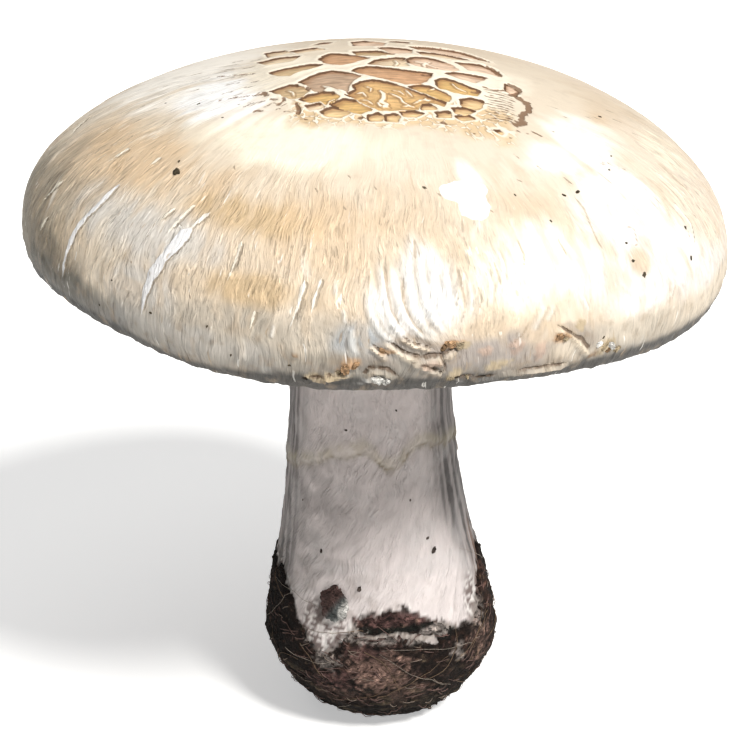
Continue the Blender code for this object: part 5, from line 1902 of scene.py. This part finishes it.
def sun(name, place, width, power, colour=(1.0, 1.0, 1.0)):
    """A distant light that shines from a place to the middle of the object."""
    light = bpy.data.lights.new(name, "SUN")
    light.angle = math.radians(width)
    light.energy = power
    light.color = colour
    made = bpy.data.objects.new(name, light)
    made.location = place
    bpy.context.scene.collection.objects.link(made)
    aim(made, (0.0, 0.0, MIDDLE_HEIGHT))


def build_stage(look):
    """The pale floor, two lights, the air's own light and the camera."""
    mesh = bmesh.new()
    bmesh.ops.create_grid(mesh, x_segments=1, y_segments=1, size=3.0)
    data = to_data(mesh, "pale_floor")
    floor = bpy.data.objects.new("pale_floor", data)
    bpy.context.scene.collection.objects.link(floor)
    material, tree, shader = plain_material("floor_paint")
    shader.inputs["Base Color"].default_value = (*look.floor, 1.0)
    shader.inputs["Roughness"].default_value = 0.9
    shader.inputs["Specular IOR Level"].default_value = 0.1
    shader.inputs["Emission Color"].default_value = (1.0, 1.0, 1.0, 1.0)
    seen = add_node(tree, "ShaderNodeLightPath").outputs["Is Camera Ray"]
    tree.links.new(calc(tree, "MULTIPLY", seen, look.glow), shader.inputs["Emission Strength"])
    data.materials.append(material)

    key_place = around(look.key_azimuth, look.key_elevation, LIGHT_DISTANCE)
    sun("key_light", key_place, look.key_width, look.key_power, (1.0, 0.985, 0.96))
    sun("top_light", (-0.1, 0.0, LIGHT_DISTANCE), 60.0, look.top_power)
    world = bpy.data.worlds.new("studio_air")
    bpy.context.scene.world = world
    world.use_nodes = True
    air = world.node_tree.nodes["Background"]
    air.inputs["Color"].default_value = (1.0, 1.0, 1.0, 1.0)
    air.inputs["Strength"].default_value = look.air

    lens = bpy.data.cameras.new("studio_camera")
    lens.lens = look.lens
    lens.sensor_width = 36.0
    camera = bpy.data.objects.new("studio_camera", lens)
    target, rise = Vector(CAMERA_TARGET), math.radians(CAMERA_ELEVATION)
    camera.location = target + CAMERA_DISTANCE * Vector((0.0, -math.cos(rise), math.sin(rise)))
    aim(camera, target)
    bpy.context.scene.collection.objects.link(camera)
    bpy.context.scene.camera = camera
    bpy.context.scene.view_settings.view_transform = "Standard"


# Settings


def colour_of(label, default):
    settings = {"subtype": "COLOR", "size": 3, "min": 0.0, "max": 1.0}
    return FloatVectorProperty(name=label, description=f"{label} colour", default=default, **settings)


def number_of(label, description, default, **limits):
    return FloatProperty(name=label, description=description, default=default, **limits)


def count_of(label, description, default, least):
    return IntProperty(name=label, description=description, default=default, min=least)


class CapLook(bpy.types.PropertyGroup):
    steps: count_of("Steps", "Steps round the rim", 800, 120)
    crown_rows: count_of("Crown rows", "Rings over the cracked crown", 80, 10)
    fibre_height: number_of("Fibre height", "How far the coarse fibres stand out, in mm", 0.075, min=0.0)
    hair_height: number_of("Hair height", "How far the finest fibres stand out, in mm", 0.065, min=0.0)
    scar_height: number_of("Scar height", "How far a healed slit stands out, in mm", 0.12)
    cell_depth: number_of("Cell depth", "How deep the crown's cells are, in mm", 0.14, min=0.0)
    roughness: number_of("Roughness", "Roughness of the skin", 0.50, min=0.0, max=1.0, subtype="FACTOR")
    cream: colour_of("Cream skin", (0.73, 0.63, 0.50))
    thread: colour_of("Crown thread", (0.88, 0.80, 0.66))
    torn_edge: colour_of("Torn edge", (0.19, 0.10, 0.05))
    groove: colour_of("Groove", (0.28, 0.23, 0.17))
    scar: colour_of("Healed slit", (0.82, 0.82, 0.83))
    fleck: colour_of("Fleck", (0.10, 0.08, 0.05))


class GillLook(bpy.types.PropertyGroup):
    plates: count_of("Plates", "Gill plates at the rim, a multiple of 4", 360, 40)
    rows: count_of("Rows", "Rows along a plate", 18, 6)
    thickness: number_of("Thickness", "Thickness of a plate, in mm", 0.26, min=0.05)
    colour: colour_of("Gill edge", (0.36, 0.20, 0.155))
    # The colour deep between the plates, a painted shade.
    valley_shade: colour_of("Between gills", (0.16, 0.08, 0.06))


class StemLook(bpy.types.PropertyGroup):
    steps: count_of("Steps", "Steps round the stem", 360, 48)
    rows: count_of("Rows", "Rows up the stem", 190, 20)
    fibre_height: number_of("Fibre height", "How far the fibres stand out, in mm", 0.07, min=0.0)
    skin: colour_of("Stem skin", (0.63, 0.57, 0.555))
    # The stem's colour under the cap, darkened as painted shade.
    shade: colour_of("Stem under the cap", (0.56, 0.50, 0.48))
    ring_line: colour_of("Ring line", (0.16, 0.12, 0.06))
    ring_stain: colour_of("Ring stain", (0.48, 0.42, 0.28))
    fleck: colour_of("Fleck", (0.09, 0.07, 0.06))


class SoilLook(bpy.types.PropertyGroup):
    steps: count_of("Steps", "Steps round the soil", 416, 48)
    rows: count_of("Rows", "Rows up the soil", 110, 20)
    thickness: number_of("Thickness", "How thick the soil lies on the bulb, in mm", 0.35, min=0.0)
    crumb_height: number_of("Crumb height", "How far crumbs stand out, in mm", 0.45, min=0.0)
    crumbs: count_of("Crumbs", "Loose crumbs pressed into the soil", 170, 0)
    rootlets: count_of("Rootlets", "Rootlets over the soil", 26, 0)
    strands: count_of("Strands", "Short strands of peat over the soil", 190, 0)
    colour: colour_of("Soil", (0.030, 0.019, 0.015))
    low_soil: colour_of("Low soil", (0.012, 0.009, 0.007))


class StageLook(bpy.types.PropertyGroup):
    floor: colour_of("Floor", (0.90, 0.90, 0.89))
    key_azimuth: number_of("Key azimuth", "Where the key light stands, in degrees about Z", 308.0)
    key_elevation: number_of("Key elevation", "How high the key light stands, in degrees", 48.2)
    key_power: number_of("Key power", "Strength of the key light, in W on a square metre", 4.1, min=0.0)
    top_power: number_of(
        "Top power", "Strength of the soft light overhead, in W on a square metre", 0.8, min=0.0)
    key_width: number_of("Key width", "How wide the key light looks, in degrees", 14.0, min=0.0)
    glow: number_of("Floor glow", "How much brighter the floor looks than its shadows leave it", 0.45, min=0.0)
    air: number_of("Air", "Strength of the light from all round", 0.10, min=0.0)
    lens: number_of("Lens", "Focal length of the camera, in mm", 120.0, min=10.0)


# Operators


class MUSHROOM_OT_cap(bpy.types.Operator):
    """Builds the cap with its skin, scars, folds and cracked crown, and the bits that cling to it"""

    bl_idname = "mushroom.cap"
    bl_label = "Cap"

    def execute(self, context):
        build_cap(context.scene.mushroom_cap)
        build_bits(context.scene.mushroom_cap)
        return {"FINISHED"}


class MUSHROOM_OT_gills(bpy.types.Operator):
    """Builds the gills under the cap"""

    bl_idname = "mushroom.gills"
    bl_label = "Gills"

    def execute(self, context):
        build_gills(context.scene.mushroom_gills)
        return {"FINISHED"}


class MUSHROOM_OT_stem(bpy.types.Operator):
    """Builds the stem with its silky fibres and ring line"""

    bl_idname = "mushroom.stem"
    bl_label = "Stem"

    def execute(self, context):
        build_stem(context.scene.mushroom_stem)
        return {"FINISHED"}


class MUSHROOM_OT_soil(bpy.types.Operator):
    """Builds the soil on the bulb, its clod, loose crumbs and rootlets"""

    bl_idname = "mushroom.soil"
    bl_label = "Soil"

    def execute(self, context):
        look = context.scene.mushroom_soil
        build_soil_crust(look)
        build_clod(look)
        build_crumbs(look)
        build_roots(look)
        return {"FINISHED"}


class MUSHROOM_OT_stage(bpy.types.Operator):
    """Builds the pale floor, the studio light and the camera"""

    bl_idname = "mushroom.stage"
    bl_label = "Stage"

    def execute(self, context):
        build_stage(context.scene.mushroom_stage)
        return {"FINISHED"}


class MUSHROOM_PT_panel(bpy.types.Panel):
    """Lists the mushroom's pieces with their sizes and colours"""

    bl_idname = "MUSHROOM_PT_panel"
    bl_label = "Field mushroom"
    bl_space_type = "VIEW_3D"
    bl_region_type = "UI"
    bl_category = "Mushroom"

    def draw(self, context):
        for operator, look in PARTS:
            box = self.layout.box()
            box.operator(operator.bl_idname)
            settings = getattr(context.scene, "mushroom_" + operator.bl_idname.split(".")[1])
            for name in look.__annotations__:
                box.prop(settings, name)


PARTS = (
    (MUSHROOM_OT_stage, StageLook),
    (MUSHROOM_OT_cap, CapLook),
    (MUSHROOM_OT_gills, GillLook),
    (MUSHROOM_OT_stem, StemLook),
    (MUSHROOM_OT_soil, SoilLook),
)


def register():
    for operator, look in PARTS:
        bpy.utils.register_class(look)
        bpy.utils.register_class(operator)
        setattr(bpy.types.Scene, "mushroom_" + operator.bl_idname.split(".")[1], PointerProperty(type=look))
    bpy.utils.register_class(MUSHROOM_PT_panel)


def unregister():
    bpy.utils.unregister_class(MUSHROOM_PT_panel)
    for operator, look in reversed(PARTS):
        delattr(bpy.types.Scene, "mushroom_" + operator.bl_idname.split(".")[1])
        bpy.utils.unregister_class(operator)
        bpy.utils.unregister_class(look)


def main():
    register()
    bpy.ops.mushroom.stage()
    bpy.ops.mushroom.cap()
    bpy.ops.mushroom.gills()
    bpy.ops.mushroom.stem()
    bpy.ops.mushroom.soil()


if __name__ == "__main__":
    main()
